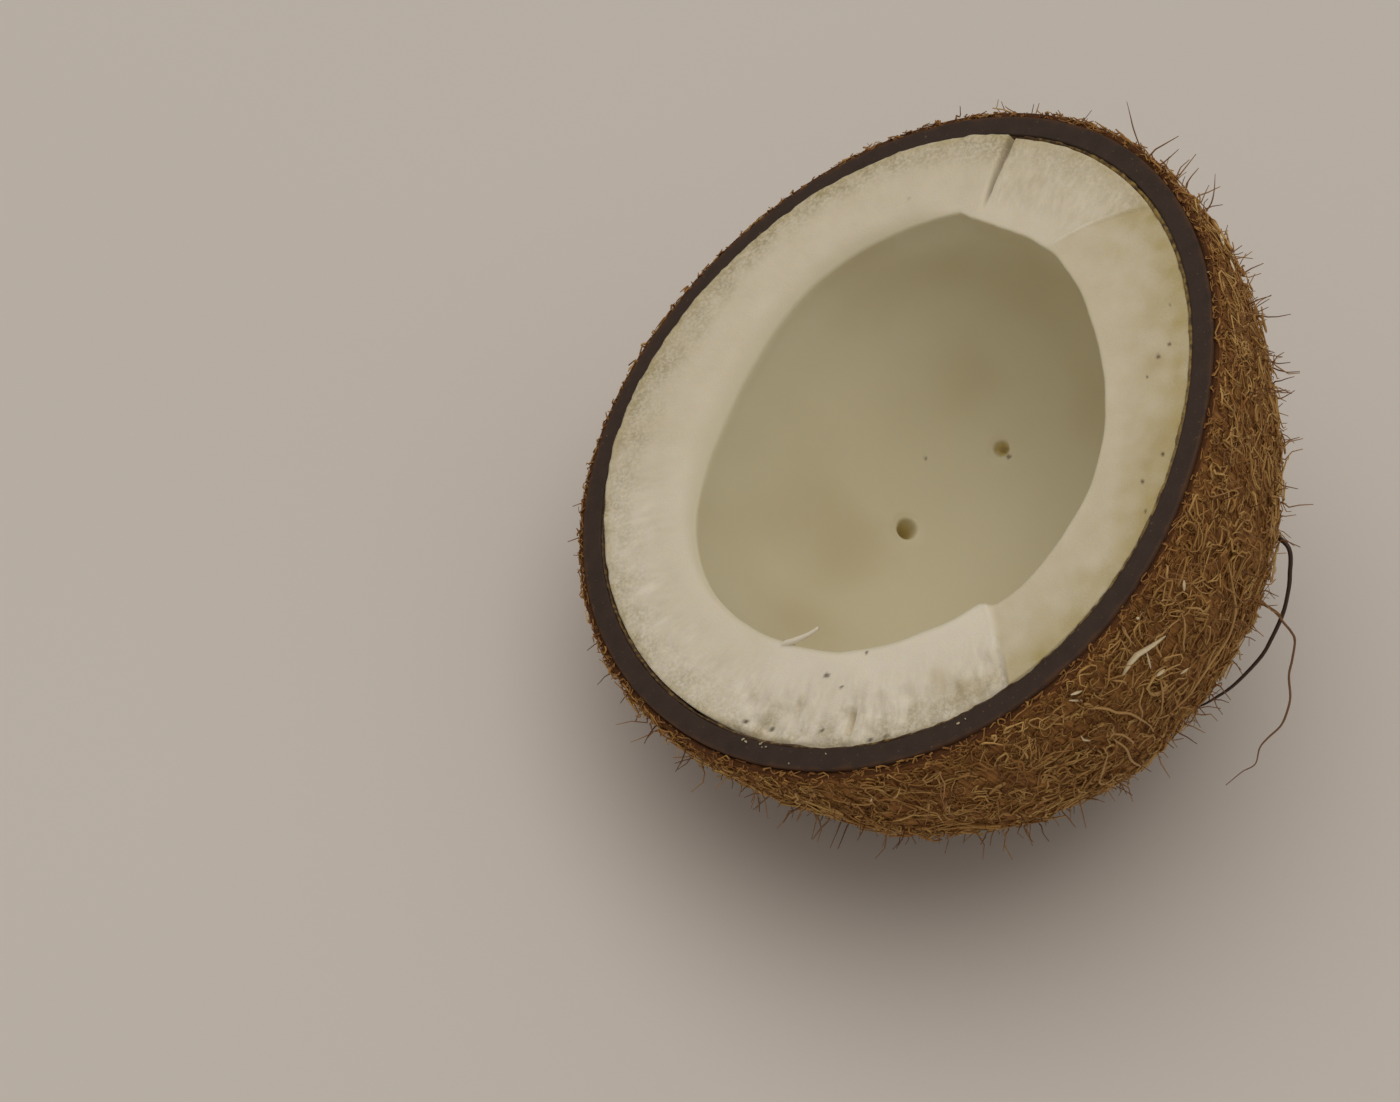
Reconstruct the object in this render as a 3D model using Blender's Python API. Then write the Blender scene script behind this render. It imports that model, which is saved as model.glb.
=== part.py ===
"""Half of a husked brown coconut, lying on its round side with the sawn face tipped up to one side.

Three bodies lie in each other like bowls: the white flesh with its hollow, the hard shell, and the coat
of coir fibres that is left outside the shell. The nut's own frame has the saw cut at z = 0, the dome
below it and azimuth zero along +X. An empty tips that frame into the pose in which the half rests.
"""
import math
import random
from dataclasses import dataclass

import bmesh
import bpy
from mathutils import Matrix, Vector, noise

MM = 0.001

# Driving sizes of the nut, millimetres
SHELL_RADIUS = 54.4
SHELL_DEPTH = 57.8
SHELL_WALL = 3.2
SEAT_GAP = 0.3
COIR_AT_RIM = 1.0
COIR_AT_SIDE = 2.0
COIR_AT_POLE = 2.6
COIR_SWELL_END = 14.0
COIR_BELOW_CUT = 0.6
CAVITY_RADIUS = 35.1
CAVITY_DEPTH = 42.0
CAVITY_CENTRE = (-1.1, 2.7)

# The nut is neither round nor straight: share of the radius added by cos 2a, sin 2a, cos 3a and sin 3a
NUT_OUTLINE = (0.016, 0.041, -0.012, -0.012)
CAVITY_OUTLINE = (0.018, 0.071, 0.030, -0.031)
NUT_POLE_SHIFT = (-5.9, 7.5)
CAVITY_POLE_SHIFT = (-4.0, 4.5)
DOME_SQUARENESS = 2.15

# How the half lies: degrees, and millimetres in the nut's own frame
LEAN_HEADING = -168.15
LEAN = 29.6
TURN_ON_AXIS = 22.7
BALANCE_POINT = (-2.0, 2.2, -25.5)
SETTLE = 1.2
PAD_RADIUS = 10.0
PAD_FADE_RADIUS = 24.0
PAD_PACKING = 2.6

# Divisions of the bowls
SEGMENTS = 60
COIR_SEGMENTS = 2 * SEGMENTS
WALL_ROWS = 9
COIR_ROWS = 16
SHARP_EDGE = 38.0

# Ridges of matted coir that run from the rim to the pole: ridges round the nut, height, slant
COIR_RIDGES = ((17, 0.26, 1.7), (29, 0.18, -2.3), (7, 0.20, 0.9))
COIR_LUMPS = 0.35
COIR_LUMP_SIZE = 14.0

# Holes pricked into the flesh from the hollow: azimuth and latitude, degrees
HOLES = ((301.7, 50.3), (244.6, 58.2))
HOLE_DIAMETER = 3.3
HOLE_DEPTH = 7.0
HOLE_SIDES = 12

# Loose fibres of the coat
STRAND_SEED = 11
STRAND_ROWS = ((9.0, 23), (20.0, 22), (32.0, 20), (45.0, 17), (59.0, 13), (75.0, 8))
STRAND_DIAMETER = 0.95
STRAND_LENGTH = (13.0, 27.0)
STRAND_SPREAD = 38.0
STRAND_LIFT = (0.7, 1.9)
STRAND_ROOT = 0.7
STRAND_SHARES = (0.1, 0.4, 0.7, 1.0)
STRAND_BOW = 0.4
STRAND_CURL = 50.0
STRAND_TAPER = 0.45
STRAND_SIDES = 3
STRAND_JITTER = 0.35
HIGHEST_OVER_CUT = 1.0
FLOOR_CLEARANCE = 0.6
PAD_CLEARANCE = 26.0

# Two long stray fibres on the right, as points of the resting pose, millimetres
DARK_STRAY_DIAMETER = 1.1
DARK_STRAY = (
    (42.0, -17.6, 52.6), (45.9, -15.9, 48.5), (47.2, -18.6, 43.2), (46.2, -22.6, 40.6),
    (43.9, -26.2, 38.0), (40.6, -30.0, 34.6), (36.2, -33.6, 31.6), (31.6, -38.6, 31.0),
)
LIGHT_STRAY_DIAMETER = 0.8
LIGHT_STRAY = (
    (42.2, -22.0, 43.6), (45.4, -23.0, 40.4), (46.0, -26.4, 38.6), (45.4, -31.0, 36.2), (44.2, -35.4, 33.4),
    (41.8, -39.2, 31.2), (38.6, -42.6, 29.0), (36.0, -45.2, 26.6),
)


@dataclass(frozen=True)
class Dome:
    """A bowl's surface, given by azimuth round the nut and latitude from the cut to the pole, degrees."""

    radius: float
    depth: float
    outline: tuple = NUT_OUTLINE
    centre: tuple = (0.0, 0.0)
    pole_shift: tuple = NUT_POLE_SHIFT

    def point(self, azimuth, latitude):
        a = math.radians(azimuth)
        sine = math.sin(math.radians(latitude))
        cosine = max(0.0, math.cos(math.radians(latitude)))
        c2, s2, c3, s3 = self.outline
        lobes = 1 + c2 * math.cos(2 * a) + s2 * math.sin(2 * a)
        lobes += c3 * math.cos(3 * a) + s3 * math.sin(3 * a)
        r = self.radius * lobes * cosine ** (2 / DOME_SQUARENESS)
        return Vector((
            self.centre[0] + r * math.cos(a) + self.pole_shift[0] * sine,
            self.centre[1] + r * math.sin(a) + self.pole_shift[1] * sine,
            -self.depth * sine ** (2 / DOME_SQUARENESS),
        ))

    def normal(self, azimuth, latitude):
        """Unit vector out of the dome."""
        step = 0.5
        latitude = min(latitude, 90 - step)
        east = self.point(azimuth + step, latitude) - self.point(azimuth - step, latitude)
        up = self.point(azimuth, max(0.0, latitude - step)) - self.point(azimuth, latitude + step)
        return east.cross(up).normalized()

    def grown(self, at_side, at_pole=None):
        """The same dome moved outwards."""
        at_pole = at_side if at_pole is None else at_pole
        return Dome(self.radius + at_side, self.depth + at_pole, self.outline, self.centre, self.pole_shift)


SHELL_OUTSIDE = Dome(SHELL_RADIUS, SHELL_DEPTH)
SHELL_INSIDE = SHELL_OUTSIDE.grown(-SHELL_WALL)
FLESH_OUTSIDE = SHELL_INSIDE.grown(-SEAT_GAP)
CAVITY = Dome(CAVITY_RADIUS, CAVITY_DEPTH, CAVITY_OUTLINE, CAVITY_CENTRE, CAVITY_POLE_SHIFT)
COIR_INSIDE = SHELL_OUTSIDE.grown(SEAT_GAP)
COIR_OUTSIDE = SHELL_OUTSIDE.grown(COIR_AT_SIDE, COIR_AT_POLE)


@dataclass(frozen=True)
class Facet:
    """A stretch of the broken flesh edge: azimuths in degrees, heights over the cut in millimetres."""

    start: float
    end: float
    at_shell: float
    at_cavity: float
    blend: float


FLESH_FACETS = (
    Facet(22, 75, -0.5, 1.3, 5),
    Facet(75, 178, -0.1, 0.2, 6),
    Facet(178, 207, -0.8, -1.3, 4),
    Facet(207, 310, 0.2, -2.6, 4),
    Facet(310, 382, 0.0, -0.8, 9),
)
FACE_STEPS = (0.0, 0.25, 0.55, 0.82, 1.0)
FACE_RIPPLES = 11
FACE_RIPPLE_HEIGHT = 0.25


def smooth(value, low, high):
    """Smooth step from 0 at low to 1 at high."""
    x = min(1.0, max(0.0, (value - low) / (high - low)))
    return x * x * (3 - 2 * x)


def face_height(azimuth, share):
    """Height of the broken flesh over the cut, share of the way from the shell to the hollow."""
    total = 0.0
    weight = 0.0
    for facet in FLESH_FACETS:
        for turn in (-360, 0, 360):
            a = azimuth + turn
            window = smooth(a, facet.start - facet.blend / 2, facet.start + facet.blend / 2)
            window -= smooth(a, facet.end - facet.blend / 2, facet.end + facet.blend / 2)
            total += window * (facet.at_shell + (facet.at_cavity - facet.at_shell) * share ** 2)
            weight += window
    ripple = FACE_RIPPLE_HEIGHT * math.sin(math.radians(FACE_RIPPLES * azimuth)) * math.sin(math.pi * share)
    return total / weight + ripple


def resting_pose():
    """Matrix from the nut's frame to the resting frame, both in millimetres."""
    turn = (
        Matrix.Rotation(math.radians(LEAN_HEADING), 4, "Z")
        @ Matrix.Rotation(math.radians(LEAN), 4, "Y")
        @ Matrix.Rotation(math.radians(TURN_ON_AXIS), 4, "Z")
    )
    lowest = min(
        (turn @ COIR_OUTSIDE.point(azimuth, latitude)).z
        for azimuth in range(0, 360, 3)
        for latitude in range(0, 90, 2)
    )
    balance = turn @ Vector(BALANCE_POINT)
    return Matrix.Translation((-balance.x, -balance.y, -lowest - SETTLE)) @ turn


POSE = resting_pose()
POSE_BACK = POSE.inverted()


def flattened(point):
    """A point of the coat, pressed flat where it lies and packed out to a pad below the balance point."""
    placed = POSE @ point
    packing = PAD_PACKING * (1 - smooth(math.hypot(placed.x, placed.y), PAD_RADIUS, PAD_FADE_RADIUS))
    placed.z = max(0.0, placed.z - packing)
    return POSE_BACK @ placed


def coir_point(azimuth, latitude):
    """Outer surface of the coat with its ridges, thin at the rim and pressed flat underneath."""
    point = COIR_OUTSIDE.point(azimuth, latitude)
    normal = COIR_OUTSIDE.normal(azimuth, latitude)
    swell = smooth(latitude, 0.0, COIR_SWELL_END)
    fade = swell * math.cos(math.radians(latitude)) ** 0.5
    relief = sum(
        height * math.cos(math.radians(count * azimuth) + slant * math.radians(3 * latitude))
        for count, height, slant in COIR_RIDGES
    )
    relief += COIR_LUMPS * noise.noise(point / COIR_LUMP_SIZE)
    thinner = (COIR_AT_SIDE - COIR_AT_RIM) * (1 - swell)
    point = point + normal * (relief * fade) - Vector((normal.x, normal.y, 0.0)) * thinner
    point.z -= COIR_BELOW_CUT * (1 - swell)
    return flattened(point)


def ring(surface, latitude, segments):
    return [surface(360 * i / segments, latitude) for i in range(segments)]


def latitudes(rows):
    """Latitudes of a bowl's rows from the pole, which is left out, up to the cut."""
    return [90 * (1 - i / rows) for i in range(1, rows + 1)]


def bridge(bm, lower, upper):
    """Join two rings of vertices; the lower one may have twice the vertices of the upper, or be a pole."""
    if len(lower) == 1:
        for i, vertex in enumerate(upper):
            bm.faces.new((lower[0], upper[(i + 1) % len(upper)], vertex))
        return
    if len(upper) == 1:
        for i, vertex in enumerate(lower):
            bm.faces.new((vertex, lower[(i + 1) % len(lower)], upper[0]))
        return
    count = len(upper)
    if len(lower) == count:
        for i in range(count):
            j = (i + 1) % count
            bm.faces.new((lower[i], lower[j], upper[j], upper[i]))
        return
    for i in range(count):
        j = (i + 1) % count
        near, middle, far = lower[2 * i], lower[2 * i + 1], lower[(2 * i + 2) % len(lower)]
        bm.faces.new((near, middle, upper[i]))
        bm.faces.new((middle, upper[j], upper[i]))
        bm.faces.new((middle, far, upper[j]))


def bowl(name, rings, material, parent):
    """A closed bowl from its rings: outer pole, up the outside, over the rim and down to the inner pole."""
    bm = bmesh.new()
    loops = [[bm.verts.new(point * MM) for point in loop] for loop in rings]
    for lower, upper in zip(loops, loops[1:]):
        bridge(bm, lower, upper)
    bmesh.ops.triangulate(bm, faces=bm.faces[:])
    return finished(name, bm, material, parent)


def finished(name, bm, material, parent):
    """Turn the bmesh into an object under the resting empty."""
    mesh = bpy.data.meshes.new(name)
    bm.to_mesh(mesh)
    bm.free()
    mesh.materials.append(material)
    mesh.shade_smooth()
    mesh.set_sharp_from_angle(angle=math.radians(SHARP_EDGE))
    obj = bpy.data.objects.new(name, mesh)
    obj.parent = parent
    bpy.context.scene.collection.objects.link(obj)
    return obj


def principled(name, colour, roughness):
    material = bpy.data.materials.new(name)
    material.use_nodes = True
    shader = material.node_tree.nodes["Principled BSDF"]
    shader.inputs["Base Color"].default_value = (*colour, 1.0)
    shader.inputs["Roughness"].default_value = roughness
    shader.inputs["Metallic"].default_value = 0.0
    return material


def make_flesh(parent):
    """The white kernel: brown-skinned outside, broken face and smooth hollow with two pricked holes."""
    rings = [[FLESH_OUTSIDE.point(0, 90)]]
    rings += [ring(FLESH_OUTSIDE.point, latitude, SEGMENTS) for latitude in latitudes(WALL_ROWS)[:-1]]
    for share in FACE_STEPS:
        loop = []
        for i in range(SEGMENTS):
            azimuth = 360 * i / SEGMENTS
            point = FLESH_OUTSIDE.point(azimuth, 0).lerp(CAVITY.point(azimuth, 0), share)
            point.z = face_height(azimuth, share)
            loop.append(point)
        rings.append(loop)
    rings += [ring(CAVITY.point, latitude, SEGMENTS) for latitude in reversed(latitudes(WALL_ROWS)[:-1])]
    rings.append([CAVITY.point(0, 90)])
    flesh = bowl("flesh", rings, principled("coconut_flesh", (0.78, 0.75, 0.66), 0.5), parent)
    for number, (azimuth, latitude) in enumerate(HOLES, 1):
        cut = flesh.modifiers.new(f"hole_{number}", "BOOLEAN")
        cut.operation = "DIFFERENCE"
        cut.object = hole_cutter(f"hole_cutter_{number}", azimuth, latitude, parent)
    return flesh


def hole_cutter(name, azimuth, latitude, parent):
    """A pin square to the wall of the hollow, half of it in the flesh."""
    bm = bmesh.new()
    radius = HOLE_DIAMETER / 2 * MM
    bmesh.ops.create_cone(
        bm, cap_ends=True, segments=HOLE_SIDES, radius1=radius, radius2=radius, depth=2 * HOLE_DEPTH * MM
    )
    mesh = bpy.data.meshes.new(name)
    bm.to_mesh(mesh)
    bm.free()
    cutter = bpy.data.objects.new(name, mesh)
    cutter.parent = parent
    cutter.location = CAVITY.point(azimuth, latitude) * MM
    cutter.rotation_euler = CAVITY.normal(azimuth, latitude).to_track_quat("Z", "Y").to_euler()
    cutter.hide_render = True
    cutter.display_type = "WIRE"
    bpy.context.scene.collection.objects.link(cutter)
    return cutter


def make_shell(parent):
    """The hard shell with its flat sawn rim."""
    rings = [[SHELL_OUTSIDE.point(0, 90)]]
    rings += [ring(SHELL_OUTSIDE.point, latitude, SEGMENTS) for latitude in latitudes(WALL_ROWS)]
    rings += [ring(SHELL_INSIDE.point, latitude, SEGMENTS) for latitude in reversed(latitudes(WALL_ROWS))]
    rings.append([SHELL_INSIDE.point(0, 90)])
    return bowl("shell", rings, principled("coconut_shell", (0.045, 0.027, 0.018), 0.7), parent)


def coir_lining(azimuth, latitude):
    """Inner surface of the coat, whose top edge lies just below the cut."""
    point = COIR_INSIDE.point(azimuth, latitude)
    point.z = min(point.z, -COIR_BELOW_CUT)
    return point


def strand(name, points, diameter, collection):
    """One tapered fibre with few sides, along points in the nut's frame."""
    bm = bmesh.new()
    previous = None
    side = Vector((0, 0, 1))
    for i, point in enumerate(points):
        ahead = points[min(i + 1, len(points) - 1)] - points[max(i - 1, 0)]
        ahead.normalize()
        side = (side - ahead * side.dot(ahead)).normalized()
        across = ahead.cross(side)
        if i == len(points) - 1:
            loop = [bm.verts.new(point * MM)]
        else:
            radius = diameter / 2 * (1 - STRAND_TAPER * i / (len(points) - 1))
            loop = []
            for k in range(STRAND_SIDES):
                angle = math.tau * k / STRAND_SIDES
                offset = side * math.cos(angle) + across * math.sin(angle)
                loop.append(bm.verts.new((point + offset * radius) * MM))
        if previous is None:
            bm.faces.new(loop[::-1])
        else:
            bridge(bm, previous, loop)
        previous = loop
    bmesh.ops.recalc_face_normals(bm, faces=bm.faces[:])
    mesh = bpy.data.meshes.new(name)
    bm.to_mesh(mesh)
    bm.free()
    obj = bpy.data.objects.new(name, mesh)
    collection.objects.link(obj)


def strand_points(rng, azimuth, latitude):
    """A fibre that leaves the coat at one place, bows over the surface and ends free."""
    length = rng.uniform(*STRAND_LENGTH)
    lift = rng.uniform(*STRAND_LIFT)
    yaw = rng.uniform(-STRAND_SPREAD, STRAND_SPREAD) + rng.choice((0, 180))
    curl = rng.uniform(-STRAND_CURL, STRAND_CURL)
    start = COIR_OUTSIDE.point(azimuth, latitude)
    along = (COIR_OUTSIDE.point(azimuth, latitude + 1) - start).normalized()
    across = COIR_OUTSIDE.normal(azimuth, latitude).cross(along)
    points = [on_coat(start, -STRAND_ROOT)]
    for share in STRAND_SHARES:
        heading = math.radians(yaw + curl * share)
        place = start + (along * math.cos(heading) + across * math.sin(heading)) * length * share
        points.append(on_coat(place, lift * (1 + STRAND_BOW * math.sin(math.pi * share))))
    return points


def coat_place(place):
    """Azimuth and latitude where the ray from the nut's middle to a point leaves the coat's dome."""
    middle = Vector((NUT_POLE_SHIFT[0] / 2, NUT_POLE_SHIFT[1] / 2, -SHELL_DEPTH / 3))
    ray = (place - middle).normalized()
    low, high = SHELL_RADIUS / 3, SHELL_DEPTH * 1.5
    for _ in range(24):
        half = (low + high) / 2
        azimuth, latitude, outside = dome_place(middle + ray * half)
        low, high = (low, half) if outside else (half, high)
    return azimuth, latitude


def dome_place(point):
    """Azimuth and latitude of the coat's dome level with a point, and whether the point is outside it."""
    sine = min(1.0, max(0.0, -point.z / COIR_OUTSIDE.depth)) ** (DOME_SQUARENESS / 2)
    shift = Vector((NUT_POLE_SHIFT[0] * sine, NUT_POLE_SHIFT[1] * sine))
    offset = point.xy - shift
    azimuth = math.degrees(math.atan2(offset.y, offset.x))
    latitude = math.degrees(math.asin(sine))
    edge = COIR_OUTSIDE.point(azimuth, latitude).xy - shift
    return azimuth, latitude, sine >= 1.0 or offset.length > edge.length


def on_coat(place, height):
    """The point at a height over the coat, next to a place."""
    azimuth, latitude = coat_place(place)
    return coir_point(azimuth, latitude) + COIR_OUTSIDE.normal(azimuth, latitude) * height


def clear_of_floor(points):
    """Whether a fibre stays above the surface and off the pad that the half lies on."""
    placed = [POSE @ point for point in points]
    high = all(point.z > FLOOR_CLEARANCE + STRAND_DIAMETER for point in placed[1:])
    return high and math.hypot(placed[0].x, placed[0].y) > PAD_CLEARANCE


def make_loose_fibres():
    """The coat's loose fibres, each an object in one collection, even on all sides."""
    rng = random.Random(STRAND_SEED)
    collection = bpy.data.collections.new("loose_fibres")
    bpy.context.scene.collection.children.link(collection)
    for latitude, count in STRAND_ROWS:
        for i in range(count):
            azimuth = 360 * (i + rng.uniform(-STRAND_JITTER, STRAND_JITTER)) / count + latitude
            points = strand_points(rng, azimuth, latitude + rng.uniform(-5, 5))
            if clear_of_floor(points) and max(point.z for point in points) < HIGHEST_OVER_CUT:
                strand(f"fibre_{latitude:.0f}_{i}", points, STRAND_DIAMETER, collection)
    for name, route, diameter in (
        ("dark_stray", DARK_STRAY, DARK_STRAY_DIAMETER),
        ("light_stray", LIGHT_STRAY, LIGHT_STRAY_DIAMETER),
    ):
        strand(name, [POSE_BACK @ Vector(point) for point in route], diameter, collection)
    return collection


def make_husk(parent):
    """The coat of coir: a thin ridged bowl with its loose fibres fused to it."""
    rings = [[coir_point(0, 90)]]
    rings += [ring(coir_point, latitude, COIR_SEGMENTS) for latitude in latitudes(COIR_ROWS)]
    rings += [ring(coir_lining, latitude, SEGMENTS) for latitude in reversed(latitudes(WALL_ROWS))]
    rings.append([coir_lining(0, 90)])
    husk = bowl("husk", rings, principled("coir", (0.17, 0.09, 0.035), 0.95), None)
    fibres = make_loose_fibres()
    union = husk.modifiers.new("loose_fibres", "BOOLEAN")
    union.operation = "UNION"
    union.operand_type = "COLLECTION"
    union.collection = fibres
    bpy.context.view_layer.update()
    joined = bpy.data.meshes.new_from_object(husk.evaluated_get(bpy.context.evaluated_depsgraph_get()))
    husk.modifiers.clear()
    husk.data = joined
    for fibre in list(fibres.objects):
        bpy.data.objects.remove(fibre, do_unlink=True)
    bpy.data.collections.remove(fibres)
    husk.parent = parent
    return husk


def main():
    for obj in list(bpy.data.objects):
        bpy.data.objects.remove(obj, do_unlink=True)
    resting = bpy.data.objects.new("resting_half", None)
    resting.location = POSE.to_translation() * MM
    resting.rotation_euler = POSE.to_euler()
    bpy.context.scene.collection.objects.link(resting)
    make_flesh(resting)
    make_shell(resting)
    make_husk(resting)


main()
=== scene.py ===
"""The looks of half a husked brown coconut that lies on its round side.

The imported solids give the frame: white flesh, hard shell and a coat of coir. This script dresses them:
the broken and pricked flesh, its brown skin, the sawn shell and the coat with its thousands of fibres.
Sizes are millimetres in the nut's own frame, where the saw cut is z = 0 and the dome hangs below it.
"""
import logging
import math
import random
from dataclasses import dataclass
from enum import Enum
from typing import Any, Sequence

import bpy
import numpy as np
from mathutils import Matrix, Vector


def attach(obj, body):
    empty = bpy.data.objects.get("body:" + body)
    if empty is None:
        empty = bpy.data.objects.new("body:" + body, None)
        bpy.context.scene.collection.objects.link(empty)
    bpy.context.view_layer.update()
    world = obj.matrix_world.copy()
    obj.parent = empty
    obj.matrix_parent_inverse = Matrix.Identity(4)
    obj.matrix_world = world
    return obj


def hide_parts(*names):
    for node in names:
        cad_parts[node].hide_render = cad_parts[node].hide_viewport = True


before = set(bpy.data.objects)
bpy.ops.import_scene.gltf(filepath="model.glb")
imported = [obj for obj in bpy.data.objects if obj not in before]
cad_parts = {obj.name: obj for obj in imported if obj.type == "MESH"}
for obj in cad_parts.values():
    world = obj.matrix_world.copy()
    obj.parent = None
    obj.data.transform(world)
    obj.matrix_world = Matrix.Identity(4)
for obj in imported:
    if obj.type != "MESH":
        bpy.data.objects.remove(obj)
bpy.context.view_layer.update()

MM = 0.001
BODY = "root"
MATH, VECTOR_MATH, MAP_RANGE = "ShaderNodeMath", "ShaderNodeVectorMath", "ShaderNodeMapRange"
MIX, NOISE, BUMP = "ShaderNodeMix", "ShaderNodeTexNoise", "ShaderNodeBump"
ATTRIBUTE, COORDINATES = "ShaderNodeAttribute", "ShaderNodeTexCoord"
STORE, RECALL = "GeometryNodeStoreNamedAttribute", "GeometryNodeInputNamedAttribute"
SET_POSITION, REALIZE = "GeometryNodeSetPosition", "GeometryNodeRealizeInstances"
log = logging.getLogger("coconut")


def linear(colour: str) -> tuple[float, float, float, float]:
    """Turn an sRGB hex colour into linear values.

    Args:
        colour: six hex digits after a hash.

    Returns:
        Red, green, blue and an alpha of one.
    """
    parts = [int(colour[i:i + 2], 16) / 255 for i in (1, 3, 5)]
    return (*[p / 12.92 if p <= 0.04045 else ((p + 0.055) / 1.055) ** 2.4 for p in parts], 1.0)


def feed(node: bpy.types.Node, inputs: dict[Any, Any]) -> None:
    """Give a node's inputs their values and links.

    Args:
        node: the node.
        inputs: socket name or number to a value, to an output socket, or to a node whose first live output
            feeds it.
    """
    for socket, value in inputs.items():
        if isinstance(value, bpy.types.Node):
            value = next(output for output in value.outputs if output.enabled)
        if isinstance(value, bpy.types.NodeSocket):
            node.id_data.links.new(value, node.inputs[socket])
        else:
            node.inputs[socket].default_value = value


def add(
    tree: bpy.types.NodeTree, kind: str, inputs: dict[Any, Any] | None = None, **settings: Any
) -> bpy.types.Node:
    """Add a node with its settings, values and links.

    Args:
        tree: the tree that gets the node.
        kind: the node's type.
        inputs: its values and links, as for feed().
        settings: the node's own properties.

    Returns:
        The new node.
    """
    node = tree.nodes.new(kind)
    for name, value in settings.items():
        setattr(node, name, value)
    feed(node, inputs or {})
    return node


def smooth(value: np.ndarray, low: Any, high: Any) -> np.ndarray:
    """Smooth step from 0 at low to 1 at high."""
    x = np.clip((value - low) / (high - low), 0.0, 1.0)
    return x * x * (3 - 2 * x)


def lattice_noise(points: np.ndarray, seed: int) -> np.ndarray:
    """Smooth noise between -1 and 1 from random values at whole-number places.

    Args:
        points: places, with x, y and z in the last axis, one unit to a lump.
        seed: which noise.

    Returns:
        One value for each place.
    """
    cell = np.floor(points).astype(np.int64)
    share = points - cell
    share = share ** 3 * (share * (share * 6 - 15) + 10)
    total = np.zeros(points.shape[:-1])
    for corner in np.ndindex(2, 2, 2):
        x, y, z = ((cell[..., i] + corner[i]).astype(np.uint64) for i in range(3))
        # Large odd numbers and shifts scatter the corner's place into 16 random bits.
        mixed = x * np.uint64(73856093) ^ y * np.uint64(19349663) ^ z * np.uint64(83492791)
        mixed = mixed ^ np.uint64(seed * 977 + 13)
        mixed = (mixed ^ (mixed >> np.uint64(15))) * np.uint64(2246822519)
        mixed = (mixed ^ (mixed >> np.uint64(13))) * np.uint64(3266489917)
        value = ((mixed >> np.uint64(16)) & np.uint64(65535)).astype(float) / 32767.5 - 1
        weight = np.ones_like(total)
        for i in range(3):
            weight = weight * (share[..., i] if corner[i] else 1 - share[..., i])
        total += value * weight
    return total


def roughness(points: np.ndarray, size: float, octaves: int, seed: int) -> np.ndarray:
    """Noise of several sizes on top of each other.

    Args:
        points: places in millimetres.
        size: the largest lumps, millimetres.
        octaves: how many sizes, each half the last.
        seed: which noise.

    Returns:
        One value for each place, roughly between -1 and 1.
    """
    total = np.zeros(points.shape[:-1])
    for octave in range(octaves):
        total += lattice_noise(points / size * 2 ** octave + 17.3 * octave, seed + octave) * 0.5 ** octave
    return total / 1.4


@dataclass(frozen=True)
class Dome:
    """A bowl's surface by azimuth round the nut and latitude from the cut to the pole, in degrees."""

    radius: float
    depth: float
    outline: tuple[float, float, float, float] = (0.016, 0.041, -0.012, -0.012)
    centre: tuple[float, float] = (0.0, 0.0)
    pole_shift: tuple[float, float] = (-5.9, 7.5)
    squareness: float = 2.15

    def lobes(self, azimuth: np.ndarray) -> np.ndarray:
        """How far the outline is from round at an azimuth in radians.

        Args:
            azimuth: radians round the nut.

        Returns:
            The radius over the round one's.
        """
        c2, s2, c3, s3 = self.outline
        even = c2 * np.cos(2 * azimuth) + s2 * np.sin(2 * azimuth)
        return 1 + even + c3 * np.cos(3 * azimuth) + s3 * np.sin(3 * azimuth)

    def points(self, azimuth: np.ndarray, latitude: np.ndarray, grow: Any = 0.0) -> np.ndarray:
        """Places on the surface.

        Args:
            azimuth: degrees round the nut.
            latitude: degrees from the cut, 90 at the pole.
            grow: millimetres by which radius and depth are larger.

        Returns:
            Places in the nut's frame, x, y and z in the last axis.
        """
        a = np.radians(azimuth)
        sine = np.sin(np.radians(latitude))
        cosine = np.maximum(np.cos(np.radians(latitude)), 0.0)
        r = (self.radius + grow) * self.lobes(a) * cosine ** (2 / self.squareness)
        x = self.centre[0] + r * np.cos(a) + self.pole_shift[0] * sine
        y = self.centre[1] + r * np.sin(a) + self.pole_shift[1] * sine
        z = -(self.depth + grow) * sine ** (2 / self.squareness)
        return np.stack(np.broadcast_arrays(x, y, z), -1)

    def normals(self, azimuth: np.ndarray, latitude: np.ndarray) -> np.ndarray:
        """Unit vectors out of the dome at places given as for points().

        Args:
            azimuth: degrees round the nut.
            latitude: degrees from the cut.

        Returns:
            A vector for each place.
        """
        step = 0.4
        latitude = np.clip(latitude, step, 90 - step)
        east = self.points(azimuth + step, latitude) - self.points(azimuth - step, latitude)
        up = self.points(azimuth, latitude - step) - self.points(azimuth, latitude + step)
        normal = np.cross(east, up)
        return normal / np.linalg.norm(normal, axis=-1, keepdims=True)


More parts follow.
